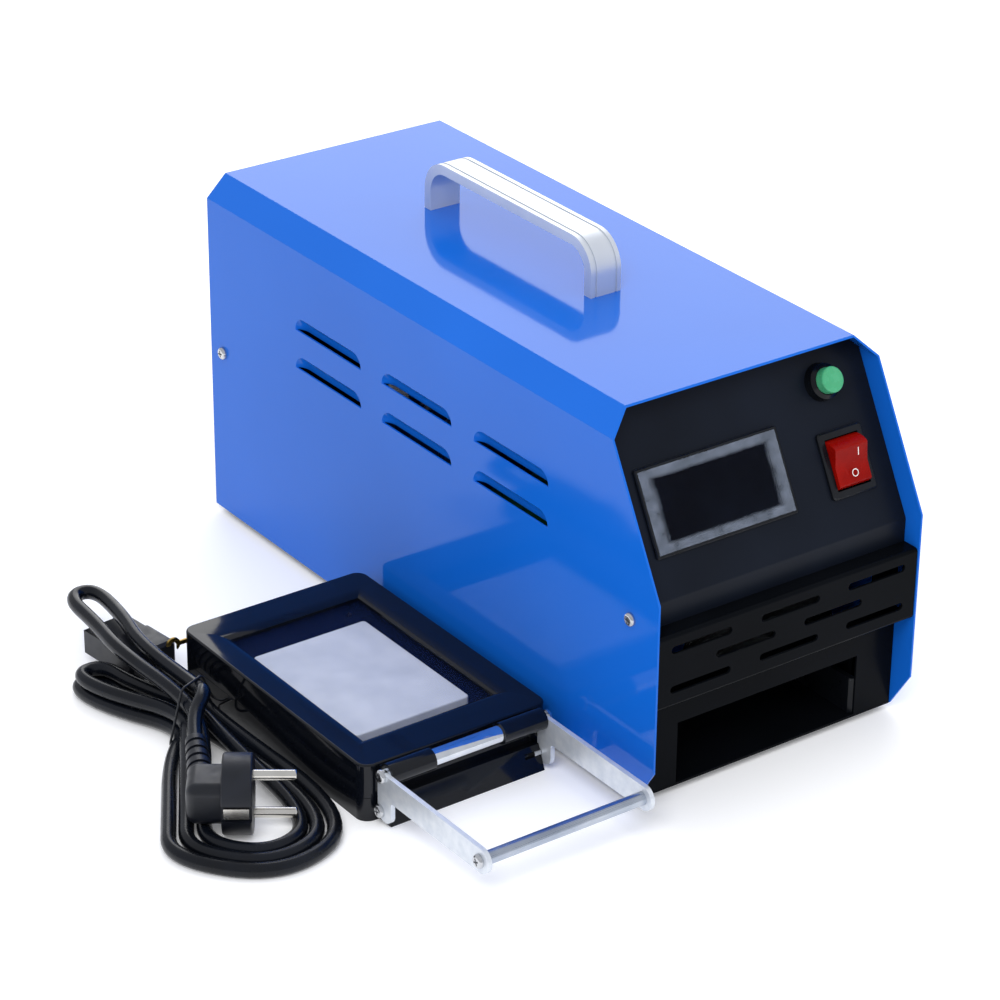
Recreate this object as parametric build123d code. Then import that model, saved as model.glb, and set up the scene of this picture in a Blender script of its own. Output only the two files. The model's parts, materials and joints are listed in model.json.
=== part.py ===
from build123d import *
import math
import os

# Flash stamp exposure machine with its exposure tray and a detached mains lead.
# Millimetres. X to the right seen from the front, Y to the back, Z up from the surface that it
# stands on. The origin is under the middle of the housing.

# Housing of folded sheet steel
body_width = 150.0
body_depth = 362.7
wall_height = 178.6
foot_height = 4.0
cover_sheet = 1.0
chassis_sheet = 1.2
roof_setback = 41.1
knee_height = 102.8
edge_slope_in = 10.9
edge_slope_drop = 10.7
toe_depth = 12.4
toe_height = 19.4
fold_gap = 0.3
bend_radius = 0.6
base_flange = 12.0

# Louvres pressed into the side walls
louvre_length = 56.5
louvre_height = 7.0
louvre_press_depth = 3.5
louvre_pitch = 73.9
louvre_first = 108.0
louvre_columns = 3
louvre_lower_slit = 106.5
louvre_row_step = 20.0

# Front under the panel
ledge_height = 86.0
hood_front_inset = 0.5
hood_bottom_height = 50.2
hood_rear_reach = 22.0
hood_slot_length = 33.5
hood_slot_width = 3.7
hood_slot_step = 50.0
hood_slot_lowest = 58.8
hood_slot_rise = 9.8
air_window_width = 118.0
air_window_low = 56.0
air_window_high = 80.0
air_window_corner = 3.0
front_flange = 10.0

# Control panel
panel_recess = 11.0
panel_top_flange = 12.0
panel_tab_depth = 17.0
panel_tab_height = 9.0

# Rear wall
rear_inset = 1.2
rear_flange = 14.0
rear_flange_height = 60.0
rear_low_strip = 3.0
rear_slot_length = 46.0
rear_slot_width = 4.0
rear_slot_step = 9.0
rear_slot_rows = 6
rear_slot_spread = 62.0
rear_slot_lowest = 96.0

# Screws
screw_head_radius = 3.2
screw_head_height = 2.1
screw_radius = 1.5
screw_gap = 0.15
cover_screw_height = 88.5
cover_screw_front = 18.9
cover_screw_rear = 11.5
cover_screw_length = 5.0

# Springs, whose wire has flat sides
wire_sides = 6

# Feet
foot_radius = 7.0
foot_draft = 0.8
foot_side_inset = 17.0
foot_end_inset = 31.5

# Carry handle
handle_width = 17.0
handle_thickness = 5.0
handle_length = 132.2
handle_front = 138.8
handle_rise = 26.4
handle_bend = 16.0
handle_groove_width = 1.2
handle_groove_depth = 0.5
handle_groove_inset = 2.2
handle_screw_radius = 2.0
handle_screw_depth = 10.0

# Display
display_width = 78.9
display_height = 40.0
display_x = -23.1
display_s = 38.0
display_proud = 1.6
display_corner = 1.5
display_body_width = 74.0
display_body_height = 36.4
display_body_depth = 24.0
display_wall = 1.6
display_ledge = 2.0
window_width = 64.0
window_height = 29.0
window_thickness = 0.9
window_recess = 0.5
film_thickness = 0.15
film_margin = 1.5
film_gap = 0.02
display_bevel = 0.5
digits_margin_x = 6.0
digits_margin_y = 4.0
digits_gap = 2.0
display_board_thickness = 1.6
display_board_depth = 8.0
cutout_gap = 0.3

# Push button
button_x = 47.5
button_s = 70.0
collar_radius = 8.8
collar_top_radius = 7.9
collar_height = 5.4
collar_bevel = 1.4
barrel_radius = 7.0
barrel_depth = 13.0
barrel_floor = 2.0
button_radius = 6.0
button_gap = 0.3
button_face_height = 10.0
button_head_height = 8.2
button_round = 1.1
button_stem_radius = 2.0
button_stem_gap = 0.1
button_nut_width = 17.0
button_nut_height = 3.0
button_thread_gap = 0.1
button_stem_end = 0.5
button_spring_radius = 4.2
button_spring_wire = 0.6
button_spring_turns = 4

# Rocker switch
rocker_x = 49.2
rocker_s = 32.8
rocker_frame_width = 25.4
rocker_frame_height = 30.5
rocker_frame_proud = 2.0
rocker_frame_corner = 1.8
rocker_frame_bevel = 0.7
rocker_width = 18.6
rocker_gap = 0.3
rocker_wall = 1.2
rocker_radius = 11.6
rocker_pivot_depth = 2.0
rocker_corner_angle = 42.6
rocker_valley = 6.2
rocker_skirt_angle = 20.0
rocker_tilt = 13.0
rocker_ridge_round = 0.9
rocker_body_depth = 22.0
rocker_cavity_depth = 11.0
trunnion_radius = 1.5
trunnion_gap = 0.05
trunnion_length = 0.9
terminal_width = 6.3
terminal_thickness = 0.8
terminal_length = 8.0
terminal_spread = 14.0

# Mains inlet
inlet_x = 42.0
inlet_height = 34.0
inlet_flange_width = 50.0
inlet_flange_height = 23.0
inlet_flange_thickness = 2.4
inlet_flange_corner = 3.0
inlet_screw_spacing = 40.0
inlet_body_width = 27.4
inlet_body_height = 19.6
inlet_body_depth = 20.0
inlet_socket_width = 24.6
inlet_socket_height = 16.6
inlet_socket_depth = 16.4
inlet_corner = 4.2
pin_width = 2.0
pin_height = 4.0
pin_reach = 13.0
pin_tail = 8.0
pin_spacing = 14.0
pin_drop = 2.0
inlet_screw_length = 5.0

# Exposure tray
tray_width = 100.0
tray_length = 152.0
tray_height = 28.5
tray_seam = 11.7
seam_gap = 0.2
tray_x = -129.9
tray_front_from_body = 70.0
tray_corner = 6.0
tray_wall = 3.0
tray_floor = 2.5
tray_top_round = 1.0

# Tray window, glass and pressing plate
window_from_front = 17.5
bevel_length = 119.7
bevel_width = 80.2
bevel_reach = 4.7
bevel_drop = 2.1
lip_depth = 3.7
glass_thickness = 3.0
glass_seat = 4.0
glass_gap = 0.2
plate_width = 62.0
plate_length = 86.0
plate_thickness = 4.8
plate_below_glass = 0.3
plate_corner = 2.0
plate_bevel = 0.5
guide_gap = 0.6
guide_wall = 2.0
guide_height = 12.0
guide_corner = 4.0
spring_radius = 4.0
spring_wire = 0.9
spring_turns = 4
spring_inset = 10.0
spring_post_radius = 2.6
spring_post_height = 8.0

# Barrel, brackets and handle of the tray
barrel_front = 6.0
barrel_axis_height = 25.5
knuckle_radius = 5.0
knuckle_length = 23.2
knuckle_end_gap = 0.3
tube_radius = 4.0
tube_fit = 0.04
tube_bore = 2.2
hinge_width = 83.9
bracket_thickness = 2.3
bracket_upright_front = 6.7
bracket_upright_rear = 3.5
bracket_foot_height = 3.0
bracket_foot_round = 4.4
bracket_arm_width = 12.0
bracket_arm_top = 27.0
bracket_inner_round = 1.5
rod_reach = 73.0
rod_radius = 3.1
front_block_top = 11.5
front_block_slope = 5.0
front_block_toe = 9.0
lower_screw_height = 7.4
tray_screw_length = 9.0

# Swing hooks at the rear of the tray
latch_inset = 8.6
latch_pivot_height = 20.4
latch_reach = 12.6
latch_thickness = 1.2
latch_eye_radius = 2.9
latch_bar = 2.2
latch_stand_off = 0.4
latch_screw_radius = 1.1
latch_head_radius = 2.2
latch_head_height = 1.2
latch_screw_length = 3.6
latch_screw_end_gap = 0.4
latch_fit = 0.08
catch_gap = 0.35
claw_lead = 0.5

# Passage for the tray inside the housing
slot_side_gap = 2.0
slot_top_gap = 2.3
rail_side_gap = 0.6
rail_width = 3.0
rail_height = 18.0
rail_lead_in = 1.8
stop_gap = 2.0
stop_thickness = 1.2
stop_height = 15.0
stop_width = 60.0
stop_foot = 12.0

# Lamp chamber over the passage
glass_over_slot = 1.0
lamp_glass_thickness = 3.0
lamp_glass_width = 112.0
lamp_glass_front = 8.0
glass_bracket_sheet = 1.2
glass_shelf = 6.0
glass_bracket_foot = 8.0
bracket_side_gap = 0.5
reflector_sheet = 0.8
reflector_height = 34.0
reflector_top_width = 76.0
reflector_foot = 5.0
reflector_mouth_gap = 2.0
flash_radius = 4.5
flash_spacing = 40.0
flash_height = 15.0
cap_wall = 0.9
cap_length = 10.0
cap_gap = 0.1
cap_overhang = 2.0
holder_sheet = 2.0
holder_from_end = 9.0
holder_side = 9.0

# Electronics
capacitor_radius = 21.0
capacitor_height = 92.0
capacitor_pitch = 48.0
capacitor_start = 22.0
capacitor_bevel = 1.2
capacitor_post_radius = 3.0
capacitor_post_height = 5.0
capacitor_post_spacing = 12.0
clamp_sheet = 1.5
clamp_height = 46.0
clamp_gap = 0.2
clamp_margin = 8.0
clamp_foot = 10.0
board_width = 96.0
board_length = 84.0
board_thickness = 1.6
board_from_chamber = 60.0
board_corner_inset = 5.0
standoff_radius = 3.0
standoff_height = 8.0
coil_radius = 8.0
coil_length = 20.0
coil_flange = 1.5
coil_core_radius = 2.5
coil_from_edge = 6.0
part_from_edge = 12.0
part_row_step = 18.0
part_rows = 3
reservoir_radius = 6.0
reservoir_height = 18.0
reservoir_from_side = 14.0
transformer_width = 28.0
transformer_length = 28.0
transformer_height = 22.0
transformer_from_side = 30.0
heat_sink_width = 3.0
heat_sink_height = 24.0
heat_sink_from_side = 23.0
switch_width = 4.0
switch_length = 10.0
switch_height = 14.0

# Mains lead: the cord and the hank that it is tied in
cord_diameter = 7.0
cord_gap = 0.7
cord_floor_gap = 0.2
hank_loops = 3
waist_x = -201.2
waist_y = -4.6
waist_turn = 21.2
waist_lift = 1.8
strand_outer = 11.8
strand_down = 3.8
strand_up = -3.9
strand_last = 4.5
floor_share = 0.4
loop_x = -221.5
loop_y = -88.0
loop_radius = 37.0
loop_corners = 3
bight_radius = 7.2
bend_by_hand = 25.0
lead_run = 10.0
plug_run = 18.0

# Connector that fits the mains inlet
connector_tip = (-189.6, 20.4, 10.0)
connector_axis = (-0.12, 0.993, 0)
connector_grip_width = 26.6
connector_grip_height = 19.4
connector_grip_length = 20.0
connector_nose_length = 18.0
connector_fit = 0.2
connector_hole_depth = 14.0
connector_hole_gap = 0.3
grip_round = 3.0

# Strain reliefs of the connector and the plug
relief_length = 24.5
relief_root_radius = 6.0
relief_tip_radius = 4.7
relief_ribs = 4
relief_groove_width = 2.0
relief_groove_depth = 1.0

# Angled mains plug, lying on its rim
plug_x = -221.0
plug_y = -87.5
plug_turn = -34.8
plug_floor_gap = 0.3
plug_disc_radius = 18.0
plug_disc_length = 13.4
plug_rim_round = 1.2
plug_elbow_depth = 15.6
plug_elbow_width = 24.0
plug_elbow_height = 20.0
plug_elbow_round = 5.0
plug_relief_start = (9.0, 1.1, -23.2)
plug_relief_tip = (37.8, 3.7, -27.3)
plug_pin_radius = 2.4
plug_pin_length = 19.0
plug_pin_spacing = 19.0
plug_pin_root = 6.0
earth_recess_width = 8.0
earth_recess_depth = 2.6
earth_strip_width = 5.0
earth_strip_thickness = 0.8
earth_strip_bow = 0.8

# Wire tie round the waist of the hank: its places are across the waist and above the floor
tie_wire = 1.2
tie_bend = 3.6
tie_low = 0.8
tie_top = 27.9
tie_left = -19.4
tie_right = 17.7
tie_top_left = -7.6
tie_top_right = 7.3
tie_shoulder = 7.8
tie_half_step = 0.9
tie_tail = (-2.0, -9.0, 7.0)

# Planes and faces that the pieces share
half_width = body_width / 2
front_y = -body_depth / 2
rear_y = body_depth / 2
wall_base = foot_height
roof_z = wall_base + wall_height
inner_half = half_width - cover_sheet
chassis_half = inner_half - fold_gap
base_top = wall_base + chassis_sheet
front_plate_y = front_y + toe_depth
front_plate_back = front_plate_y + chassis_sheet
rear_face_y = rear_y - rear_inset
rear_plate_front = rear_face_y - chassis_sheet
ledge_z = wall_base + ledge_height
screw_z = wall_base + cover_screw_height


def block(x, y, z):
    """A block between pairs of faces, each pair given as (low, high)."""
    spans = (x, y, z)
    centre = [(low + high) / 2 for low, high in spans]
    lengths = [high - low for low, high in spans]
    return Pos(*centre) * Box(*lengths)


def rod_x(radius, x, y, z):
    """A round bar along X between the two values of x."""
    return Pos((x[0] + x[1]) / 2, y, z) * Rot(0, 90, 0) * Cylinder(radius, x[1] - x[0])


def rod_y(radius, x, y, z):
    """A round bar along Y between the two values of y."""
    return Pos(x, (y[0] + y[1]) / 2, z) * Rot(90, 0, 0) * Cylinder(radius, y[1] - y[0])


def rod_z(radius, x, y, z):
    """A round bar along Z between the two values of z."""
    return Pos(x, y, (z[0] + z[1]) / 2) * Cylinder(radius, z[1] - z[0])


def across(outline, x):
    """A face drawn in Y and Z, extruded along X between the two values of x."""
    return Pos(x[0], 0, 0) * extrude(Plane.YZ * outline, x[1] - x[0], dir=(1, 0, 0))


def along(outline, y):
    """A face drawn in X and Z, extruded along Y between the two values of y."""
    return Pos(0, y[0], 0) * extrude(Plane.XZ * outline, y[1] - y[0], dir=(0, 1, 0))


def folded(points, thickness, side, bend=bend_radius):
    """The section of a folded sheet whose outer face follows the points."""
    path = FilletPolyline(*points, radius=bend + thickness)
    return make_face(offset(path, amount=thickness, side=side))


def pan_screw(length, head_radius=screw_head_radius, radius=screw_radius):
    """A pan head screw on the Z axis, with the underside of its head at zero."""
    dome = Pos(0, 0, screw_head_height / 2) * Cylinder(head_radius, screw_head_height)
    rim = dome.edges().sort_by(Axis.Z)[-1]
    head = fillet(rim, screw_head_height * 0.7)
    return head + rod_z(radius, 0, 0, (-length, 0))


def spring(radius, wire, turns, low, high):
    """An open coil spring on the Z axis between two heights, one unbroken wire."""
    rise = high - low - wire
    line = Helix(rise / turns, rise, radius - wire / 2, center=(0, 0, low + wire / 2))
    section = Plane(origin=line @ 0, z_dir=line % 0) * RegularPolygon(wire / 2, wire_sides)
    return sweep(section, path=line, is_frenet=True)


# Housing

def hat_face(base_z):
    """The section of the housing across its width, from base_z to the roof."""
    right = [
        (half_width, base_z),
        (half_width, roof_z - edge_slope_drop),
        (half_width - edge_slope_in, roof_z),
    ]
    left = [(-x, z) for x, z in reversed(right)]
    return make_face(Polyline(*right, *left, close=True))


def louvre_bar(sign, y_middle, slit_z, grow):
    """The upper half of a round-ended bar that presses one louvre into a side wall."""
    depth = louvre_press_depth
    radius = (louvre_height ** 2 + depth ** 2) / (2 * depth)
    axis_x = sign * (half_width + radius - depth)
    half_run = louvre_length / 2 - louvre_height
    y = (y_middle - half_run, y_middle + half_run)
    bar = rod_y(radius + grow, axis_x, y, slit_z)
    for end in y:
        bar += Pos(axis_x, end, slit_z) * Sphere(radius + grow)
    reach = radius + grow + 1
    upper = block(
        (axis_x - reach, axis_x + reach),
        (y[0] - reach, y[1] + reach),
        (slit_z, slit_z + reach),
    )
    return bar & upper


def louvre_places():
    """Side, middle in Y and slit height of each louvre."""
    for sign in (-1, 1):
        for column in range(louvre_columns):
            for row in range(2):
                y = front_y + louvre_first + column * louvre_pitch
                z = wall_base + louvre_lower_slit + row * louvre_row_step
                yield sign, y, z


def cover_screw_places():
    """Side and Y of each screw that holds the cover."""
    for sign in (-1, 1):
        for y in (front_y + cover_screw_front, rear_y - cover_screw_rear):
            yield sign, y


def handle_screw_places():
    """Y of the two screws under the carry handle."""
    start = front_y + handle_front
    return (start + handle_thickness / 2, start + handle_length - handle_thickness / 2)


def inside_cover(inset, y):
    """The space of the housing's section, moved inwards by inset, between two values of y."""
    return along(offset(hat_face(wall_base), amount=-inset, kind=Kind.INTERSECTION), y)


def housing_cover():
    inner = offset(hat_face(wall_base - cover_sheet), amount=-cover_sheet, kind=Kind.INTERSECTION)
    shell = along(hat_face(wall_base) - inner, (front_y, rear_y))
    side = make_face(
        Polyline(
            (front_y + toe_depth, wall_base),
            (front_y, wall_base + toe_height),
            (front_y, wall_base + knee_height),
            (front_y + roof_setback, roof_z),
            (rear_y, roof_z),
            (rear_y, wall_base),
            close=True,
        )
    )
    shell &= across(side, (-half_width, half_width))
    for sign, y, z in louvre_places():
        press = louvre_bar(sign, y, z, 0)
        skin = louvre_bar(sign, y, z, cover_sheet) - press
        inside = block((-half_width, half_width), (front_y, rear_y), (wall_base, roof_z))
        shell = shell - press + (skin & inside)
    for sign, y in cover_screw_places():
        wall = sorted((sign * (inner_half - 1), sign * (half_width + 1)))
        shell -= rod_x(screw_radius + screw_gap, wall, y, screw_z)
    for y in handle_screw_places():
        shell -= rod_z(handle_screw_radius + screw_gap, 0, y, (roof_z - 2 * cover_sheet, roof_z + 1))
    return shell


def base_plate():
    y = (front_plate_y, rear_plate_front)
    plate = block((-chassis_half, chassis_half), y, (wall_base, base_top))
    for sign in (-1, 1):
        x = sorted((sign * chassis_half, sign * (chassis_half - chassis_sheet)))
        start = front_plate_back + front_flange + 1
        flange_y = (start, rear_plate_front - rear_flange - 1)
        plate += block(x, flange_y, (wall_base, base_top + base_flange))
    return plate


slot_half = tray_width / 2 + slot_side_gap
slot_top = base_top + tray_height + slot_top_gap


def front_plate():
    y = (front_plate_y, front_plate_back)
    z = (base_top, ledge_z - chassis_sheet)
    plate = block((-chassis_half, chassis_half), y, z)
    for sign in (-1, 1):
        x = sorted((sign * chassis_half, sign * (chassis_half - chassis_sheet)))
        plate += block(x, (front_plate_y, front_plate_back + front_flange), z)
    plate -= block((-slot_half, slot_half), (y[0] - 1, y[1] + 1), (base_top - 1, slot_top))
    window = RectangleRounded(air_window_width, air_window_high - air_window_low, air_window_corner)
    window = Pos(0, wall_base + (air_window_low + air_window_high) / 2) * window
    return plate - along(window, (y[0] - 1, y[1] + 1))


def hood_slot_places():
    """X and height of each slot in the hood, three rows set like bricks."""
    for row, count in enumerate((3, 2, 3)):
        for column in range(count):
            x = (column - (count - 1) / 2) * hood_slot_step
            yield x, wall_base + hood_slot_lowest + row * hood_slot_rise


def vent_hood():
    hood_y = front_y + hood_front_inset
    points = [
        (front_y + hood_rear_reach, ledge_z),
        (hood_y, ledge_z),
        (hood_y, wall_base + hood_bottom_height),
        (front_plate_y, wall_base + hood_bottom_height),
    ]
    hood = across(folded(points, chassis_sheet, Side.LEFT), (-chassis_half, chassis_half))
    for x, z in hood_slot_places():
        slot = Pos(x, z) * SlotOverall(hood_slot_length, hood_slot_width)
        hood -= along(slot, (hood_y - 1, hood_y + chassis_sheet + 1))
    return hood


# Control panel, with its own plane: X across, Y up the slope, Z out of the panel

slope_angle = math.degrees(math.atan2(wall_height - knee_height, roof_setback))
slope_up = Vector(0, 1, 0).rotate(Axis.X, slope_angle)
slope_out = Vector(0, 0, 1).rotate(Axis.X, slope_angle)
knee_point = Vector(0, front_y, wall_base + knee_height)
panel_plane = Plane(knee_point - slope_out * panel_recess, x_dir=(1, 0, 0), z_dir=slope_out)


def panel_outline():
    """Outer line of the folded panel, from the foot of its web to the end of its top flange."""
    foot = panel_plane.origin
    under_roof = roof_z - cover_sheet
    climb = (under_roof - foot.Z) / slope_up.Z
    top = foot + slope_up * climb
    return [(foot.Y, ledge_z), (foot.Y, foot.Z), (top.Y, top.Z), (top.Y + panel_top_flange, top.Z)]


def control_panel():
    points = panel_outline()
    panel = across(folded(points, chassis_sheet, Side.RIGHT), (-chassis_half, chassis_half))
    back = points[0][0] + chassis_sheet
    for sign in (-1, 1):
        x = sorted((sign * chassis_half, sign * (chassis_half - chassis_sheet)))
        tab_y = (back - chassis_sheet / 2, back + panel_tab_depth)
        panel += block(x, tab_y, (ledge_z, ledge_z + panel_tab_height))
        through = (x[0] - 1, x[1] + 1)
        panel -= rod_x(screw_radius + screw_gap, through, front_y + cover_screw_front, screw_z)
    depth = 3 * chassis_sheet
    display = Box(display_body_width + 2 * cutout_gap, display_body_height + 2 * cutout_gap, depth)
    panel -= panel_plane * Pos(display_x, display_s, 0) * display
    switch = Box(rocker_body_width() + 2 * cutout_gap, rocker_body_height() + 2 * cutout_gap, depth)
    panel -= panel_plane * Pos(rocker_x, rocker_s, 0) * switch
    panel -= panel_plane * Pos(button_x, button_s, 0) * Cylinder(barrel_radius + cutout_gap, depth)
    return panel & inside_cover(cover_sheet, (front_y, rear_y))


def rear_panel():
    plate = inside_cover(cover_sheet + fold_gap, (rear_plate_front, rear_face_y))
    strip_z = (wall_base, wall_base + rear_low_strip)
    plate += block((-chassis_half, chassis_half), (rear_plate_front, rear_face_y), strip_z)
    middle = screw_z
    z = (middle - rear_flange_height / 2, middle + rear_flange_height / 2)
    for sign in (-1, 1):
        x = sorted((sign * chassis_half, sign * (chassis_half - chassis_sheet)))
        plate += block(x, (rear_plate_front - rear_flange, rear_face_y), z)
        plate -= rod_x(screw_radius + screw_gap, (x[0] - 1, x[1] + 1), rear_y - cover_screw_rear, screw_z)
    through = (rear_plate_front - 1, rear_face_y + 1)
    for sign in (-1, 1):
        for row in range(rear_slot_rows):
            z = wall_base + rear_slot_lowest + row * rear_slot_step
            slot = Pos(sign * rear_slot_spread / 2, z) * SlotOverall(rear_slot_length, rear_slot_width)
            plate -= along(slot, through)
    inlet_z = wall_base + inlet_height
    hole = block(
        (inlet_x - inlet_body_width / 2 - cutout_gap, inlet_x + inlet_body_width / 2 + cutout_gap),
        through,
        (inlet_z - inlet_body_height / 2 - cutout_gap, inlet_z + inlet_body_height / 2 + cutout_gap),
    )
    plate -= hole
    for sign in (-1, 1):
        plate -= rod_y(screw_radius + screw_gap, inlet_x + sign * inlet_screw_spacing / 2, through, inlet_z)
    return plate


def cover_screws():
    screws = []
    for sign, y in cover_screw_places():
        turn = Rot(0, sign * 90, 0)
        screws.append(Pos(sign * half_width, y, screw_z) * turn * pan_screw(cover_screw_length))
    return Compound(children=screws)


def feet():
    x = half_width - foot_side_inset
    y = rear_y - foot_end_inset
    corners = [(i * x, j * y) for i in (-1, 1) for j in (-1, 1)]
    foot = Pos(0, 0, foot_height) * Rot(180, 0, 0) * Cone(
        foot_radius, foot_radius - foot_draft, foot_height, align=(Align.CENTER, Align.CENTER, Align.MIN)
    )
    return Compound(children=[Pos(cx, cy, 0) * foot for cx, cy in corners])


def handle_face(inset):
    """The arch under the strap's outer line, moved inwards by inset and closed along the roof."""
    start = front_y + handle_front + inset
    end = front_y + handle_front + handle_length - inset
    top = roof_z + handle_rise - inset
    points = [(start, roof_z), (start, top), (end, top), (end, roof_z)]
    arch = FilletPolyline(*points, radius=handle_bend - inset)
    return make_face(arch + Line(points[-1], points[0]))


def carry_handle():
    x = (-handle_width / 2, handle_width / 2)
    strap = across(handle_face(0) - handle_face(handle_thickness), x)
    rim = handle_face(0) - handle_face(handle_groove_depth)
    for sign in (-1, 1):
        edge = sign * (handle_width / 2 - handle_groove_inset)
        groove = sorted((edge, edge - sign * handle_groove_width))
        strap -= across(rim, groove)
    for y in handle_screw_places():
        strap -= rod_z(handle_screw_radius + screw_gap, 0, y, (roof_z - 1, roof_z + handle_screw_depth))
    return strap


def handle_screws():
    under_roof = roof_z - cover_sheet
    screw = pan_screw(cover_sheet + handle_screw_depth - 1, screw_head_radius, handle_screw_radius)
    turned = Rot(180, 0, 0) * screw
    return Compound(children=[Pos(0, y, under_roof) * turned for y in handle_screw_places()])


# Display

def on_display(shape):
    return panel_plane * Pos(display_x, display_s, 0) * shape


window_seat = display_proud - window_recess - window_thickness


def display_housing():
    outer = RectangleRounded(display_width, display_height, display_corner)
    bezel = extrude(outer, display_proud)
    bezel = chamfer(bezel.faces().sort_by(Axis.Z)[-1].edges(), display_bevel)
    body = Box(display_body_width, display_body_height, display_body_depth)
    body = Pos(0, 0, -display_body_depth / 2) * body
    inside = Box(
        display_body_width - 2 * display_wall, display_body_height - 2 * display_wall, display_body_depth
    )
    body -= Pos(0, 0, -display_body_depth / 2 - display_wall) * inside
    housing = bezel + body
    seat = extrude(Rectangle(window_width, window_height), display_proud)
    view = Rectangle(window_width - 2 * display_ledge, window_height - 2 * display_ledge)
    housing -= Pos(0, 0, window_seat) * seat
    housing -= Pos(0, 0, -2 * display_wall) * extrude(view, 2 * display_wall + display_proud)
    return on_display(housing)


def display_window():
    pane = Rectangle(window_width - 2 * fold_gap, window_height - 2 * fold_gap)
    return on_display(Pos(0, 0, window_seat) * extrude(pane, window_thickness))


def display_film():
    film = Rectangle(display_width - 2 * film_margin, display_height - 2 * film_margin)
    return on_display(Pos(0, 0, display_proud + film_gap) * extrude(film, film_thickness))


def display_board():
    width = display_body_width - 2 * display_wall - 2 * cutout_gap
    height = display_body_height - 2 * display_wall - 2 * cutout_gap
    board = Pos(0, 0, -display_board_depth) * Box(width, height, display_board_thickness)
    depth = display_board_depth - display_wall - digits_gap
    digits = Box(window_width - 2 * digits_margin_x, window_height - 2 * digits_margin_y, depth)
    digits_z = -display_board_depth + (display_board_thickness + depth) / 2
    return on_display(board + Pos(0, 0, digits_z) * digits)


# Push button

def on_button(shape):
    return panel_plane * Pos(button_x, button_s, 0) * shape


button_bore = button_radius + button_gap
spring_seat = -barrel_depth + barrel_floor
cap_under = button_face_height - button_head_height


def button_collar():
    ring = Cone(
        collar_radius, collar_top_radius, collar_height, align=(Align.CENTER, Align.CENTER, Align.MIN)
    )
    ring = chamfer(ring.edges().sort_by(Axis.Z)[-1], collar_bevel)
    barrel = rod_z(barrel_radius, 0, 0, (-barrel_depth, 1))
    body = ring + barrel
    body -= rod_z(button_bore, 0, 0, (spring_seat, collar_height + 1))
    body -= rod_z(button_stem_radius + button_stem_gap, 0, 0, (-barrel_depth - 1, 0))
    return on_button(body)


def button_nut():
    hexagon = RegularPolygon(button_nut_width / 2, 6, major_radius=False)
    thread = Cylinder(barrel_radius + button_thread_gap, 4 * button_nut_height)
    nut = extrude(hexagon, button_nut_height) - thread
    return on_button(Pos(0, 0, -chassis_sheet - button_nut_height) * nut)


def button_cap():
    head = rod_z(button_radius, 0, 0, (cap_under, button_face_height))
    head = fillet(head.edges().sort_by(Axis.Z)[-1], button_round)
    stem = rod_z(button_stem_radius, 0, 0, (-barrel_depth + button_stem_end, cap_under + 1))
    return on_button(head + stem)


def button_spring():
    coil = spring(button_spring_radius, button_spring_wire, button_spring_turns, spring_seat, cap_under)
    return on_button(coil)


# Rocker switch

def rocker_body_width():
    return rocker_width + 2 * (rocker_gap + rocker_wall)


def rocker_body_height():
    return 2 * (rocker_radius + rocker_gap + rocker_wall)


def on_rocker(shape):
    return panel_plane * Pos(rocker_x, rocker_s, 0) * shape


def rocker_frame():
    outer = RectangleRounded(rocker_frame_width, rocker_frame_height, rocker_frame_corner)
    bezel = extrude(outer, rocker_frame_proud)
    bezel = chamfer(bezel.faces().sort_by(Axis.Z)[-1].edges(), rocker_frame_bevel)
    body = Box(rocker_body_width(), rocker_body_height(), rocker_body_depth)
    body = Pos(0, 0, -rocker_body_depth / 2) * body
    aperture = (rocker_width + 2 * rocker_gap, 2 * (rocker_radius + rocker_gap))
    cavity = extrude(Rectangle(*aperture), rocker_cavity_depth + 2 * rocker_frame_proud)
    cavity = Pos(0, 0, -rocker_cavity_depth) * cavity
    through = (-rocker_body_width(), rocker_body_width())
    holes = rod_x(trunnion_radius + trunnion_gap, through, 0, -rocker_pivot_depth)
    return on_rocker(bezel + body - cavity - holes)


def rocker():
    corner = math.radians(rocker_corner_angle)
    skirt = math.radians(-rocker_skirt_angle)
    top = Vector(rocker_radius * math.cos(corner), rocker_radius * math.sin(corner))
    low = Vector(rocker_radius * math.cos(skirt), rocker_radius * math.sin(skirt))
    side = Vector(rocker_radius, 0)
    right = ThreePointArc(low, side, top)
    left = ThreePointArc((-top.X, top.Y), (-side.X, 0), (-low.X, low.Y))
    crown = Polyline(top, (0, rocker_valley), (-top.X, top.Y))
    outline = make_face(right + crown + left + Line((-low.X, low.Y), low))
    key = across(outline, (-rocker_width / 2, rocker_width / 2))
    ridges = [e for e in key.edges().filter_by(Axis.X) if abs(e.center().Z - top.Y) < 0.01]
    key = fillet(ridges, rocker_ridge_round)
    reach = rocker_width / 2 + rocker_gap + trunnion_length
    key += rod_x(trunnion_radius, (-reach, reach), 0, 0)
    return on_rocker(Pos(0, 0, -rocker_pivot_depth) * Rot(rocker_tilt, 0, 0) * key)


def rocker_terminals():
    blades = []
    for sign in (-1, 1):
        blade = Box(terminal_width, terminal_thickness, terminal_length)
        z = -rocker_body_depth - terminal_length / 2
        blades.append(Pos(0, sign * terminal_spread / 2, z) * blade)
    return on_rocker(Compound(children=blades))


# Mains inlet in the rear wall

def inlet_plane():
    """X to the left seen from behind, Y up, Z out of the rear wall."""
    return Plane((inlet_x, rear_face_y, wall_base + inlet_height), x_dir=(-1, 0, 0), z_dir=(0, 1, 0))


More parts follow.
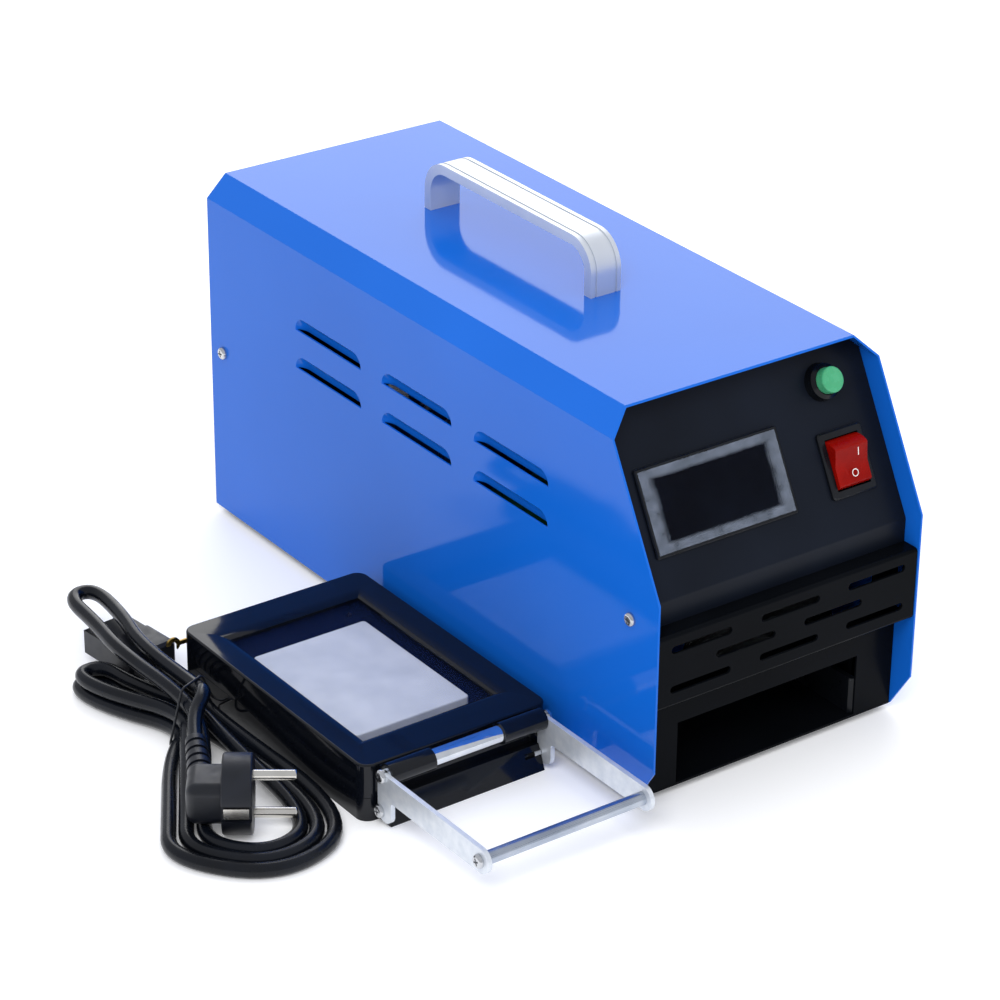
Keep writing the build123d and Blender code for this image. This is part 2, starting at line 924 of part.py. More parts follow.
def inlet_mouth(grow):
    """The outline of the socket, with its two lower corners cut."""
    half = inlet_socket_width / 2 + grow
    rise = inlet_socket_height / 2 + grow
    points = [
        (-half, rise),
        (half, rise),
        (half, -rise + inlet_corner),
        (half - inlet_corner, -rise),
        (-half + inlet_corner, -rise),
        (-half, -rise + inlet_corner),
    ]
    return make_face(Polyline(*points, close=True))


def mains_inlet():
    outline = RectangleRounded(inlet_flange_width, inlet_flange_height, inlet_flange_corner)
    flange = extrude(outline, inlet_flange_thickness)
    body = Box(inlet_body_width, inlet_body_height, inlet_body_depth)
    body = Pos(0, 0, -inlet_body_depth / 2) * body
    depth = inlet_socket_depth
    socket = Pos(0, 0, inlet_flange_thickness - depth) * extrude(inlet_mouth(0), depth + 1)
    inlet = flange + body - socket
    for x, y in pin_places():
        inlet -= Pos(x, y, -inlet_body_depth) * Box(pin_width, pin_height, inlet_body_depth)
    for sign in (-1, 1):
        hole = Cylinder(screw_radius + screw_gap, 4 * inlet_flange_thickness)
        inlet -= Pos(sign * inlet_screw_spacing / 2, 0, 0) * hole
    return inlet_plane() * inlet


def pin_places():
    """Line, earth and neutral, seen from outside."""
    return [(-pin_spacing / 2, -pin_drop), (0, pin_drop), (pin_spacing / 2, -pin_drop)]


def inlet_pins():
    floor = inlet_flange_thickness - inlet_socket_depth
    low = -inlet_body_depth - pin_tail
    high = floor + pin_reach
    pins = []
    for x, y in pin_places():
        pins.append(Pos(x, y, (low + high) / 2) * Box(pin_width, pin_height, high - low))
    return inlet_plane() * Compound(children=pins)


def inlet_screws():
    screw = pan_screw(inlet_screw_length)
    pair = [Pos(s * inlet_screw_spacing / 2, 0, inlet_flange_thickness) * screw for s in (-1, 1)]
    return inlet_plane() * Compound(children=pair)


# Passage for the tray and the lamp chamber over it

rail_inner = tray_width / 2 + rail_side_gap
stop_y = front_plate_y + tray_length + stop_gap
chamber_glass_z = slot_top + glass_over_slot
reflector_base_z = chamber_glass_z + lamp_glass_thickness
glass_front_y = front_plate_back + lamp_glass_front


def tray_rails():
    rails = []
    for sign in (-1, 1):
        x = sorted((sign * rail_inner, sign * (rail_inner + rail_width)))
        rail = block(x, (front_plate_back, stop_y), (base_top, base_top + rail_height))
        lead_in = rail.edges().filter_by(Axis.Z).sort_by(Axis.Y)[:2]
        inner = min(lead_in, key=lambda e: abs(e.center().X))
        rails.append(chamfer(inner, rail_lead_in))
    return Compound(children=rails)


def tray_stop():
    half = stop_width / 2
    wall = block((-half, half), (stop_y, stop_y + stop_thickness), (base_top, base_top + stop_height))
    foot = block((-half, half), (stop_y, stop_y + stop_foot), (base_top, base_top + stop_thickness))
    return wall + foot


bracket_inner = lamp_glass_width / 2 + bracket_side_gap


def glass_brackets():
    sides = []
    y = (glass_front_y, stop_y)
    sheet = glass_bracket_sheet
    for sign in (-1, 1):
        wall = block(
            sorted((sign * bracket_inner, sign * (bracket_inner + sheet))), y, (base_top, reflector_base_z)
        )
        shelf = block(
            sorted((sign * (bracket_inner - glass_shelf), sign * (bracket_inner + sheet))),
            y,
            (chamber_glass_z - sheet, chamber_glass_z),
        )
        foot = block(
            sorted((sign * bracket_inner, sign * (bracket_inner + glass_bracket_foot))),
            y,
            (base_top, base_top + sheet),
        )
        sides.append(wall + shelf + foot)
    return Compound(children=sides)


def lamp_glass():
    half = lamp_glass_width / 2
    return block((-half, half), (glass_front_y, stop_y), (chamber_glass_z, reflector_base_z))


reflector_y = (glass_front_y + reflector_mouth_gap, stop_y - reflector_mouth_gap)
reflector_top_z = reflector_base_z + reflector_height


def reflector_face(inset):
    """Trough section across the chamber, its mouth down."""
    half = lamp_glass_width / 2 - reflector_foot - inset
    top_half = reflector_top_width / 2 - inset
    points = [
        (-half, reflector_base_z),
        (-top_half, reflector_top_z - inset),
        (top_half, reflector_top_z - inset),
        (half, reflector_base_z),
    ]
    return make_face(Polyline(*points, close=True))


def lamp_reflector():
    sheet = reflector_sheet
    y = reflector_y
    shell = along(reflector_face(0), y)
    shell -= along(reflector_face(sheet), (y[0] + sheet, y[1] - sheet))
    half = lamp_glass_width / 2
    for sign in (-1, 1):
        inner = half - reflector_foot - sheet
        x = sorted((sign * inner, sign * half))
        shell += block(x, y, (reflector_base_z, reflector_base_z + sheet))
    return shell


flash_z = reflector_base_z + flash_height
flash_places = (-flash_spacing / 2, flash_spacing / 2)
holder_y = (reflector_y[0] + holder_from_end, reflector_y[1] - holder_from_end - holder_sheet)


flash_y = (holder_y[0] - cap_length / 2, holder_y[1] + holder_sheet + cap_length / 2)


def flash_tubes():
    return Compound(children=[rod_y(flash_radius, x, flash_y, flash_z) for x in flash_places])


def cap_spans():
    """Start and end in Y of the metal cap at each end of a tube."""
    half = cap_length / 2
    front = holder_y[0] + holder_sheet / 2
    rear = holder_y[1] + holder_sheet / 2
    return ((front - half - cap_overhang, front + half), (rear - half, rear + half + cap_overhang))


def tube_end_caps():
    caps = []
    for x in flash_places:
        for span in cap_spans():
            cap = rod_y(flash_radius + cap_gap + cap_wall, x, span, flash_z)
            tube = rod_y(flash_radius + cap_gap, x, flash_y, flash_z)
            caps.append(cap - tube)
    return Compound(children=caps)


def tube_holders():
    half = flash_spacing / 2 + holder_side
    hole = flash_radius + cap_gap + cap_wall + cap_gap
    z = (flash_z - holder_side, reflector_top_z - reflector_sheet)
    plates = []
    for y in holder_y:
        plate = block((-half, half), (y, y + holder_sheet), z)
        for x in flash_places:
            plate -= rod_y(hole, x, (y - 1, y + holder_sheet + 1), flash_z)
        plates.append(plate)
    return Compound(children=plates)


# Electronics behind and above the chamber

def capacitor_places():
    """Two rows of two capacitors behind the chamber."""
    y0 = stop_y + stop_foot + capacitor_start
    for row in range(2):
        for sign in (-1, 1):
            yield sign * capacitor_pitch / 2, y0 + row * capacitor_pitch


def capacitors():
    can = rod_z(capacitor_radius, 0, 0, (base_top, base_top + capacitor_height))
    can = chamfer(can.edges().filter_by(GeomType.CIRCLE), capacitor_bevel)
    top = base_top + capacitor_height
    for sign in (-1, 1):
        x = sign * capacitor_post_spacing / 2
        can += rod_z(capacitor_post_radius, x, 0, (top - 1, top + capacitor_post_height))
    return Compound(children=[Pos(x, y, 0) * can for x, y in capacitor_places()])


def capacitor_clamp():
    places = list(capacitor_places())
    half = capacitor_pitch / 2 + capacitor_radius + clamp_margin
    reach = capacitor_radius + clamp_margin / 2
    y = (places[0][1] - reach, places[-1][1] + reach)
    top = base_top + clamp_height
    clamp = block((-half, half), y, (top - clamp_sheet, top))
    for sign in (-1, 1):
        leg = sorted((sign * half, sign * (half - clamp_sheet)))
        foot = sorted((sign * half, sign * (half - clamp_foot)))
        clamp += block(leg, y, (base_top, top))
        middle = (y[0] + y[1]) / 2
        foot_y = (middle - clamp_foot / 2, middle + clamp_foot / 2)
        clamp += block(foot, foot_y, (base_top, base_top + clamp_sheet))
    for x, place in places:
        clamp -= rod_z(capacitor_radius + clamp_gap, x, place, (top - 2 * clamp_sheet, top + 1))
    return clamp


board_y = (reflector_y[0] + board_from_chamber, reflector_y[0] + board_from_chamber + board_length)
board_z = reflector_top_z + standoff_height


def board_corners():
    x = reflector_top_width / 2 - board_corner_inset
    for sign in (-1, 1):
        for y in (board_y[0] + board_corner_inset, board_y[1] - board_corner_inset):
            yield sign * x, y


def board_standoffs():
    z = (reflector_top_z, board_z)
    return Compound(children=[rod_z(standoff_radius, x, y, z) for x, y in board_corners()])


def circuit_board():
    """The board with its reservoirs, transformer and switches, soldered down as one piece."""
    half = board_width / 2
    top = board_z + board_thickness
    seat = board_z + board_thickness / 2
    board = block((-half, half), board_y, (board_z, top))
    start = board_y[0] + part_from_edge
    sink_x = half - heat_sink_from_side
    for row in range(part_rows):
        y = start + row * part_row_step
        x = -half + reservoir_from_side
        board += rod_z(reservoir_radius, x, y + reservoir_radius, (seat, top + reservoir_height))
        board += block((sink_x - switch_width, sink_x), (y, y + switch_length), (seat, top + switch_height))
    left = -half + transformer_from_side
    transformer_y = (start, start + transformer_length)
    board += block((left, left + transformer_width), transformer_y, (seat, top + transformer_height))
    sink_y = (start, start + part_rows * part_row_step)
    board += block((sink_x, sink_x + heat_sink_width), sink_y, (seat, top + heat_sink_height))
    return board


def trigger_coil():
    """The bobbin that fires the tubes, lying across the board."""
    y = board_y[1] - coil_radius - coil_from_edge
    z = board_z + board_thickness + coil_radius + coil_flange
    half = coil_length / 2
    coil = rod_x(coil_radius, (-half, half), y, z)
    for sign in (-1, 1):
        x = sorted((sign * half, sign * (half + coil_flange)))
        side = block(
            x,
            (y - coil_radius - coil_flange, y + coil_radius + coil_flange),
            (z - coil_radius - coil_flange, z + coil_radius + coil_flange),
        )
        coil += side
    through = (-half - 2 * coil_flange, half + 2 * coil_flange)
    return coil - rod_x(coil_core_radius, through, y, z)


# Exposure tray, lying beside the housing

tray_left = tray_x - tray_width / 2
tray_right = tray_x + tray_width / 2
tray_front = front_y + tray_front_from_body
tray_rear = tray_front + tray_length
tray_mid_y = (tray_front + tray_rear) / 2
barrel_y = tray_front - barrel_front
hinge_left = tray_x - hinge_width / 2
hinge_right = tray_x + hinge_width / 2
glass_top = tray_height - lip_depth
glass_under = glass_top - glass_thickness
window_y = tray_front + window_from_front + bevel_length / 2
clear_width = bevel_width - 2 * bevel_reach
clear_length = bevel_length - 2 * bevel_reach
plate_top = glass_under - plate_below_glass
plate_under = plate_top - plate_thickness
lower_screw_y = tray_front - (bracket_upright_front + barrel_front - bracket_upright_rear) / 2
rod_y_place = barrel_y - rod_reach
rod_z_place = bracket_arm_top - bracket_arm_width / 2


def tray_block(inset, z, corner):
    """A round-cornered block of the tray's outline, moved inwards by inset."""
    outline = RectangleRounded(tray_width - 2 * inset, tray_length - 2 * inset, corner)
    return Pos(tray_x, tray_mid_y, z[0]) * extrude(outline, z[1] - z[0])


def spring_places():
    """The four corners where springs carry the pressing plate."""
    for i in (-1, 1):
        for j in (-1, 1):
            x = tray_x + i * (plate_width / 2 - spring_inset)
            y = window_y + j * (plate_length / 2 - spring_inset)
            yield x, y


def tray_base():
    body = tray_block(0, (0, tray_seam), tray_corner)
    body -= tray_block(tray_wall, (tray_floor, tray_seam + 1), tray_corner - tray_wall)
    toe = tray_front - front_block_toe
    side = make_face(
        Polyline(
            (tray_front + 1, 0),
            (toe, 0),
            (toe + front_block_slope, front_block_top),
            (tray_front + 1, front_block_top),
            close=True,
        )
    )
    body += across(side, (hinge_left + fold_gap, hinge_right - fold_gap))
    for x in (hinge_left, hinge_right):
        span = (x - tray_screw_length, x + tray_screw_length)
        body -= rod_x(screw_radius + screw_gap, span, lower_screw_y, lower_screw_height)
    inner = (plate_width + 2 * guide_gap, plate_length + 2 * guide_gap)
    outer = (inner[0] + 2 * guide_wall, inner[1] + 2 * guide_wall)
    ring = RectangleRounded(*outer, guide_corner) - RectangleRounded(*inner, guide_corner - guide_wall)
    body += Pos(tray_x, window_y, tray_floor / 2) * extrude(ring, guide_height)
    for x, y in spring_places():
        body += rod_z(spring_post_radius, x, y, (tray_floor / 2, tray_floor + spring_post_height))
    for x in latch_places():
        hole_y = (tray_rear - latch_screw_length, tray_rear + 1)
        body -= rod_y(latch_screw_radius + latch_fit, x, hole_y, catch_z())
    return body


def knuckle_spans():
    """The two stretches of the barrel that belong to the lid."""
    left = hinge_left + knuckle_end_gap
    right = hinge_right - knuckle_end_gap
    return ((left, left + knuckle_length), (right - knuckle_length, right))


def tray_lid():
    lid = tray_block(0, (tray_seam + seam_gap, tray_height), tray_corner)
    rim = lid.faces().sort_by(Axis.Z)[-1].edges()
    lid = fillet(rim, tray_top_round)
    lid -= tray_block(tray_wall, (tray_seam - 1, glass_under), tray_corner - tray_wall)
    centre = Pos(tray_x, window_y, 0)
    seat = Rectangle(clear_width + 2 * glass_seat, clear_length + 2 * glass_seat)
    lid -= centre * Pos(0, 0, glass_under - 1) * extrude(seat, glass_thickness + 1)
    lid -= centre * Pos(0, 0, glass_under) * extrude(Rectangle(clear_width, clear_length), tray_height)
    rim_low = Pos(0, 0, tray_height - bevel_drop) * Rectangle(clear_width, clear_length)
    rim_high = Pos(0, 0, tray_height) * Rectangle(bevel_width, bevel_length)
    lid -= centre * loft([rim_low, rim_high])
    for span in knuckle_spans():
        lid += rod_x(knuckle_radius, span, barrel_y, barrel_axis_height)
        lid += block(
            span,
            (barrel_y, tray_front + 1),
            (barrel_axis_height - knuckle_radius, tray_height - tray_top_round),
        )
    lid -= rod_x(tube_radius + tube_fit, (hinge_left, hinge_right), barrel_y, barrel_axis_height)
    for x in latch_places():
        z = latch_pivot_height
        lid -= rod_y(latch_screw_radius + latch_fit, x, (tray_rear - latch_screw_length, tray_rear + 1), z)
    return lid


def lid_glass():
    pane = Rectangle(
        clear_width + 2 * (glass_seat - glass_gap), clear_length + 2 * (glass_seat - glass_gap)
    )
    return Pos(tray_x, window_y, glass_under) * extrude(pane, glass_thickness)


def press_plate():
    plate = extrude(RectangleRounded(plate_width, plate_length, plate_corner), plate_thickness)
    plate = chamfer(plate.faces().sort_by(Axis.Z)[-1].edges(), plate_bevel)
    return Pos(tray_x, window_y, plate_under) * plate


def press_springs():
    coil = spring(spring_radius, spring_wire, spring_turns, tray_floor, plate_under)
    return Compound(children=[Pos(x, y, 0) * coil for x, y in spring_places()])


def hinge_tube():
    x = (hinge_left, hinge_right)
    bore = rod_x(tube_bore, x, barrel_y, barrel_axis_height)
    return rod_x(tube_radius, x, barrel_y, barrel_axis_height) - bore


def bracket(x):
    """A flat plate with an upright at the tray and an arm forward to the handle rod."""
    front = barrel_y - bracket_upright_front
    rear = barrel_y + bracket_upright_rear
    arm_low = bracket_arm_top - bracket_arm_width
    upright = make_face(
        Polyline(
            (front, bracket_foot_height),
            (rear, bracket_foot_height),
            (rear, bracket_arm_top),
            (front, bracket_arm_top),
            close=True,
        )
    )
    arm = make_face(
        Polyline(
            (rod_y_place, arm_low),
            (front + 1, arm_low),
            (front + 1, bracket_arm_top),
            (rod_y_place, bracket_arm_top),
            close=True,
        )
    )
    end = Pos(rod_y_place, rod_z_place) * Circle(bracket_arm_width / 2)
    plate = across(upright, x) + across(arm, x) + across(end, x)
    foot_edges = plate.edges().filter_by(Axis.X).group_by(Axis.Z)[0]
    plate = fillet(foot_edges, bracket_foot_round)
    inner = [
        e
        for e in plate.edges().filter_by(Axis.X)
        if abs(e.center().Y - front) < 0.01 and abs(e.center().Z - arm_low) < 0.01
    ]
    plate = fillet(inner, bracket_inner_round)
    top_rear = plate.edges().filter_by(Axis.X).group_by(Axis.Z)[-1].sort_by(Axis.Y)[-1]
    plate = fillet(top_rear, bracket_inner_round)
    for y, z in bracket_holes():
        plate -= rod_x(screw_radius + screw_gap, (x[0] - 1, x[1] + 1), y, z)
    return plate


def bracket_holes():
    """Y and Z of the barrel, lower screw and handle rod."""
    return [
        (barrel_y, barrel_axis_height),
        (lower_screw_y, lower_screw_height),
        (rod_y_place, rod_z_place),
    ]


def left_bracket():
    return bracket((hinge_left - bracket_thickness, hinge_left))


def right_bracket():
    return bracket((hinge_right, hinge_right + bracket_thickness))


def side_screws(places):
    """Screws through both brackets at the given places in Y and Z."""
    screws = []
    length = tray_screw_length
    for sign, x in ((-1, hinge_left - bracket_thickness), (1, hinge_right + bracket_thickness)):
        for y, z in places:
            screws.append(Pos(x, y, z) * Rot(0, sign * 90, 0) * pan_screw(length))
    return Compound(children=screws)


def bracket_screws():
    return side_screws(bracket_holes()[:2])


def rod_screws():
    return side_screws(bracket_holes()[2:])


def handle_rod():
    x = (hinge_left, hinge_right)
    rod = rod_x(rod_radius, x, rod_y_place, rod_z_place)
    depth = tray_screw_length - bracket_thickness + 1
    for start, end in ((x[0] - 1, x[0] + depth), (x[1] - depth, x[1] + 1)):
        rod -= rod_x(screw_radius + screw_gap, (start, end), rod_y_place, rod_z_place)
    return rod


# Swing hooks

def latch_places():
    return (tray_left + latch_inset, tray_right - latch_inset)


def catch_z():
    """Height of the catch screws, one hook length under the pivots."""
    return latch_pivot_height - latch_reach


latch_y = tray_rear + latch_stand_off


def latch_hook():
    """A flat hook that points left of its pivot, with its claw open at the bottom."""
    slot = latch_screw_radius + catch_gap
    ring = slot + latch_bar
    bar_end = latch_reach - slot
    hook = Circle(latch_eye_radius) + Pos(-bar_end / 2, 0) * Rectangle(bar_end, latch_bar)
    hook += Pos(-latch_reach, 0) * (Circle(ring) - Circle(slot))
    hook -= Pos(-latch_reach - ring / 2, -ring / 2) * Rectangle(ring, ring)
    throat = 2 * slot + claw_lead
    hook -= Pos(-latch_reach + claw_lead / 2, -ring / 2) * Rectangle(throat, ring)
    return hook - Circle(latch_screw_radius + latch_fit)


def hook_at(x):
    outline = Pos(x, latch_pivot_height) * latch_hook()
    return along(outline, (latch_y, latch_y + latch_thickness))


def latch_hook_left():
    return hook_at(latch_places()[0])


def latch_hook_right():
    return hook_at(latch_places()[1])


def latch_screws(z):
    """Round head screws in the rear wall with the hooks turning or catching under their heads."""
    stand = latch_stand_off + latch_thickness + latch_fit
    screws = []
    for x in latch_places():
        shank_start = tray_rear - latch_screw_length + latch_screw_end_gap
        shank_end = tray_rear + stand + latch_head_height / 2
        shank = rod_y(latch_screw_radius, x, (shank_start, shank_end), z)
        head = rod_y(latch_head_radius, x, (tray_rear + stand, tray_rear + stand + latch_head_height), z)
        screws.append(shank + head)
    return Compound(children=screws)


def latch_pivots():
    return latch_screws(latch_pivot_height)


def latch_catches():
    return latch_screws(catch_z())


# Mains lead: its loops lie the same way, drawn in at the waist and held there by a wire tie

cord_step = cord_diameter + cord_gap
cord_floor_z = cord_diameter / 2 + cord_floor_gap


def at_waist(across_waist, layer, lift=0.0):
    """A point of the cord at the tie: how far across the waist, and in which layer."""
    side = Vector(across_waist, 0, 0).rotate(Axis.Z, waist_turn)
    return Vector(waist_x, waist_y, cord_floor_z + waist_lift + lift + layer * cord_step) + side


def round_loop(start, end, radius):
    """Corners of the loop that a strand makes on the floor, clockwise from start round to end."""
    centre = Vector(loop_x, loop_y)
    angles = []
    for point, way in ((start, -1), (end, 1)):
        reach = Vector(point.X, point.Y) - centre
        angles.append(math.atan2(reach.Y, reach.X) + way * math.acos(radius / reach.length))
    turn = (angles[0] - angles[1] + 2 * math.pi) / loop_corners
    corner_radius = radius / math.cos(turn / 2)
    for corner in range(loop_corners):
        angle = angles[0] - turn * (corner + 0.5)
        yield centre + Vector(corner_radius * math.cos(angle), corner_radius * math.sin(angle), cord_floor_z)


def near_bight(layer):
    """The short bights beside the connector, one on the other."""
    rise = layer * cord_step
    end_y = 60.5 - 3.5 * layer
    return [
        (Vector(-224.4, 34.0, 4.2 + rise), bend_by_hand),
        (Vector(-227.6, end_y, cord_floor_z + rise), bight_radius),
        (Vector(-212.8, end_y, cord_floor_z + rise), bight_radius),
        (Vector(-210.2, 34.0, 4.2 + rise), bend_by_hand),
    ]


def far_bight():
    """The long bight that rests on the connector."""
    z = connector_tip[2] + connector_grip_height / 2 + cord_diameter / 2 + cord_gap
    return [
        (Vector(-210.5, 44.0, z), bend_by_hand),
        (Vector(-206.2, 74.0, z), bend_by_hand),
        (Vector(-204.6, 104.0, z), bight_radius),
        (Vector(-189.8, 104.0, z), bight_radius),
        (Vector(-192.2, 74.0, z), bend_by_hand),
        (Vector(-199.5, 44.0, z), bend_by_hand),
    ]


def hank_route():
    """Each corner of the cord's centre line with its radius, from the connector to the plug."""
    way_in = Vector(*connector_tip) - Vector(*connector_axis) * lead_run
    corners = [(way_in, bend_by_hand)]
    downs = [at_waist(strand_outer, 0), at_waist(strand_down, 0), at_waist(strand_down, 1)]
    shoulders = [Vector(-224.5, -22.0, 3.9), Vector(-217.6, -26.0, 9.9), Vector(-209.5, -27.3, 15.6)]
    for loop in range(hank_loops):
        start = downs[loop]
        corners.append((start, bend_by_hand))
        if loop == hank_loops - 1:
            start = Vector(-200.9, -32.0, 11.6)
            corners.append((start, bend_by_hand))
        radius = loop_radius - loop * cord_step
        for corner in round_loop(start, shoulders[loop], radius):
            corners.append((corner, radius))
        knee = corner + (shoulders[loop] - corner) * floor_share
        corners.append((Vector(knee.X, knee.Y, cord_floor_z + 0.2 * (loop + 1)), bend_by_hand))
        corners.append((shoulders[loop], bend_by_hand))
        corners.append((at_waist(strand_up, loop), bend_by_hand))
        corners += far_bight() if loop == hank_loops - 1 else near_bight(loop)
    corners.append((at_waist(strand_last, 2, waist_lift), bend_by_hand))
    corners.append((Vector(-201.1, -15.3, 28.1), bend_by_hand))
    corners.append((plug_tip() + plug_way() * plug_run, bend_by_hand))
    return corners


def fitted_radius(before, corner, after, wanted):
    """The wanted radius, or the largest that the two runs beside the corner leave room for."""
    turn = (corner - before).get_angle(after - corner)
    shorter = min((corner - before).length, (after - corner).length)
    return min(wanted, 0.48 * shorter / math.tan(math.radians(turn / 2)))


def hank_path():
    corners = hank_route()
    points = [Vector(*connector_tip)] + [point for point, radius in corners] + [plug_tip()]
    radii = []
    for place, (point, wanted) in enumerate(corners, start=1):
        radii.append(fitted_radius(points[place - 1], point, points[place + 1], wanted))
    return FilletPolyline(*points, radius=radii), radii


def closest_strands(path):
    """Least distance between the cord's surfaces, measured on points along it."""
    count = int(path.length / 2)
    places = [path @ (i / count) for i in range(count + 1)]
    apart = int(3 * cord_diameter / 2)
    least = path.length
    for i, place in enumerate(places):
        for other in places[i + apart:]:
            least = min(least, (place - other).length)
    return least - cord_diameter


def cord_hank():
    path, radii = hank_path()
    section = Plane(origin=path @ 0, z_dir=path % 0) * Circle(cord_diameter / 2)
    cord = sweep(section, path=path)
    expected = math.pi * cord_diameter ** 2 / 4 * path.length
    print("cord length", round(path.length), "mm, radii", [round(radius, 1) for radius in radii])
    print("cord volume over section times length", round(cord.volume / expected, 4))
    print("least gap of the cord to itself", round(closest_strands(path), 2), "mm")
    return cord


def strain_relief(length):
    """A ribbed taper on the Z axis, its tip at zero."""
    relief = Cone(
        relief_tip_radius, relief_root_radius, length, align=(Align.CENTER, Align.CENTER, Align.MIN)
    )
    pitch = length / (relief_ribs + 1)
    for rib in range(relief_ribs):
        z = pitch * (rib + 0.8)
        core = relief_tip_radius + (relief_root_radius - relief_tip_radius) * z / length
        ring = Cylinder(core + 2, relief_groove_width) - Cylinder(
            core - relief_groove_depth, 2 * relief_groove_width
        )
        relief -= Pos(0, 0, z) * ring
    return relief


def connector_body():
    """The connector on its own axis, from the tip of its strain relief to its mating face."""
    plane = Plane(connector_tip, x_dir=(-connector_axis[1], connector_axis[0], 0), z_dir=connector_axis)
    grip = Box(connector_grip_width, connector_grip_height, connector_grip_length)
    grip = fillet(grip.edges().filter_by(Axis.Z), grip_round)
    grip = chamfer(grip.faces().sort_by(Axis.Z)[0].edges(), grip_round / 2)
    grip = Pos(0, 0, relief_length + connector_grip_length / 2) * grip
    nose_start = relief_length + connector_grip_length
    nose = Pos(0, 0, nose_start) * extrude(inlet_mouth(-connector_fit), connector_nose_length)
    body = strain_relief(relief_length + 1) + grip + nose
    front = nose_start + connector_nose_length
    hole = (pin_width + connector_hole_gap, pin_height + connector_hole_gap, 2 * connector_hole_depth)
    for x, y in pin_places():
        body -= Pos(-x, y, front) * Box(*hole)
    return plane * body


def plug_plane():
    """X along the plug's face, Y up, Z along its pins; the origin is the middle of its face."""
    out = Vector(1, 0, 0).rotate(Axis.Z, plug_turn)
    origin = Vector(plug_x, plug_y, plug_disc_radius + plug_floor_gap)
    return Plane(origin, x_dir=Vector(0, 1, 0).rotate(Axis.Z, plug_turn), z_dir=out)


def plug_tip():
    """Tip of the plug's strain relief."""
    return plug_plane().from_local_coords(Vector(*plug_relief_tip))


def plug_way():
    """Direction in which the cord leaves the plug."""
    return (plug_tip() - plug_plane().from_local_coords(Vector(*plug_relief_start))).normalized()


def plug_body():
    disc = rod_z(plug_disc_radius, 0, 0, (-plug_disc_length, 0))
    disc = fillet(disc.edges().filter_by(GeomType.CIRCLE), plug_rim_round)
    elbow = Box(plug_elbow_width, plug_elbow_height, plug_elbow_depth + plug_elbow_round)
    elbow = fillet(elbow.edges(), plug_elbow_round)
    body = disc + Pos(0, 0, -plug_disc_length - plug_elbow_depth / 2 + plug_elbow_round / 2) * elbow
    tip = Vector(*plug_relief_tip)
    start = Vector(*plug_relief_start)
    relief = strain_relief((tip - start).length)
    body += Plane(tip, z_dir=start - tip) * relief
    half = earth_recess_width / 2
    for side in (-1, 1):
        x = sorted((side * (plug_disc_radius - earth_recess_depth), side * (plug_disc_radius + 1)))
        body -= block(x, (-half, half), (-plug_disc_length, 1))
        body -= pin_at(side, -plug_pin_root, 1)
    return plug_plane() * body


def pin_at(side, low, high):
    return rod_z(plug_pin_radius, 0, side * plug_pin_spacing / 2, (low, high))


def plug_pins():
    """The two round pins and the earth strips on both sides of the rim."""
    pieces = []
    for side in (-1, 1):
        pin = pin_at(side, -plug_pin_root, plug_pin_length)
        pin = fillet(pin.edges().sort_by(Axis.Z)[-1], plug_pin_radius * 0.45)
        pieces.append(pin)
        floor_x = plug_disc_radius - earth_recess_depth
        x = sorted((side * floor_x, side * (floor_x + earth_strip_thickness + earth_strip_bow)))
        half = earth_strip_width / 2
        pieces.append(block(x, (-half, half), (-plug_disc_length + plug_rim_round, -plug_rim_round)))
    return plug_plane() * Compound(children=pieces)


def cord_tie():
    """One wire round the waist, with its two ends side by side."""
    loop = [
        (tie_right, tie_shoulder),
        (tie_right, tie_low),
        (tie_left, tie_low),
        (tie_top_left, tie_top),
        (tie_top_right, tie_top),
        (tie_right, tie_shoulder),
    ]
    places = []
    for step, (across_waist, z) in enumerate(loop):
        shift = tie_half_step * (2 * step / (len(loop) - 1) - 1)
        places.append(Vector(across_waist, shift, z))
    tail = Vector(*tie_tail)
    places = [places[0] + tail] + places + [places[-1] + tail]
    plane = Plane((waist_x, waist_y, 0), x_dir=Vector(1, 0, 0).rotate(Axis.Z, waist_turn), z_dir=(0, 0, 1))
    path = FilletPolyline(*[plane.from_local_coords(place) for place in places], radius=tie_bend)
    section = Plane(origin=path @ 0, z_dir=path % 0) * Circle(tie_wire / 2)
    return sweep(section, path=path)


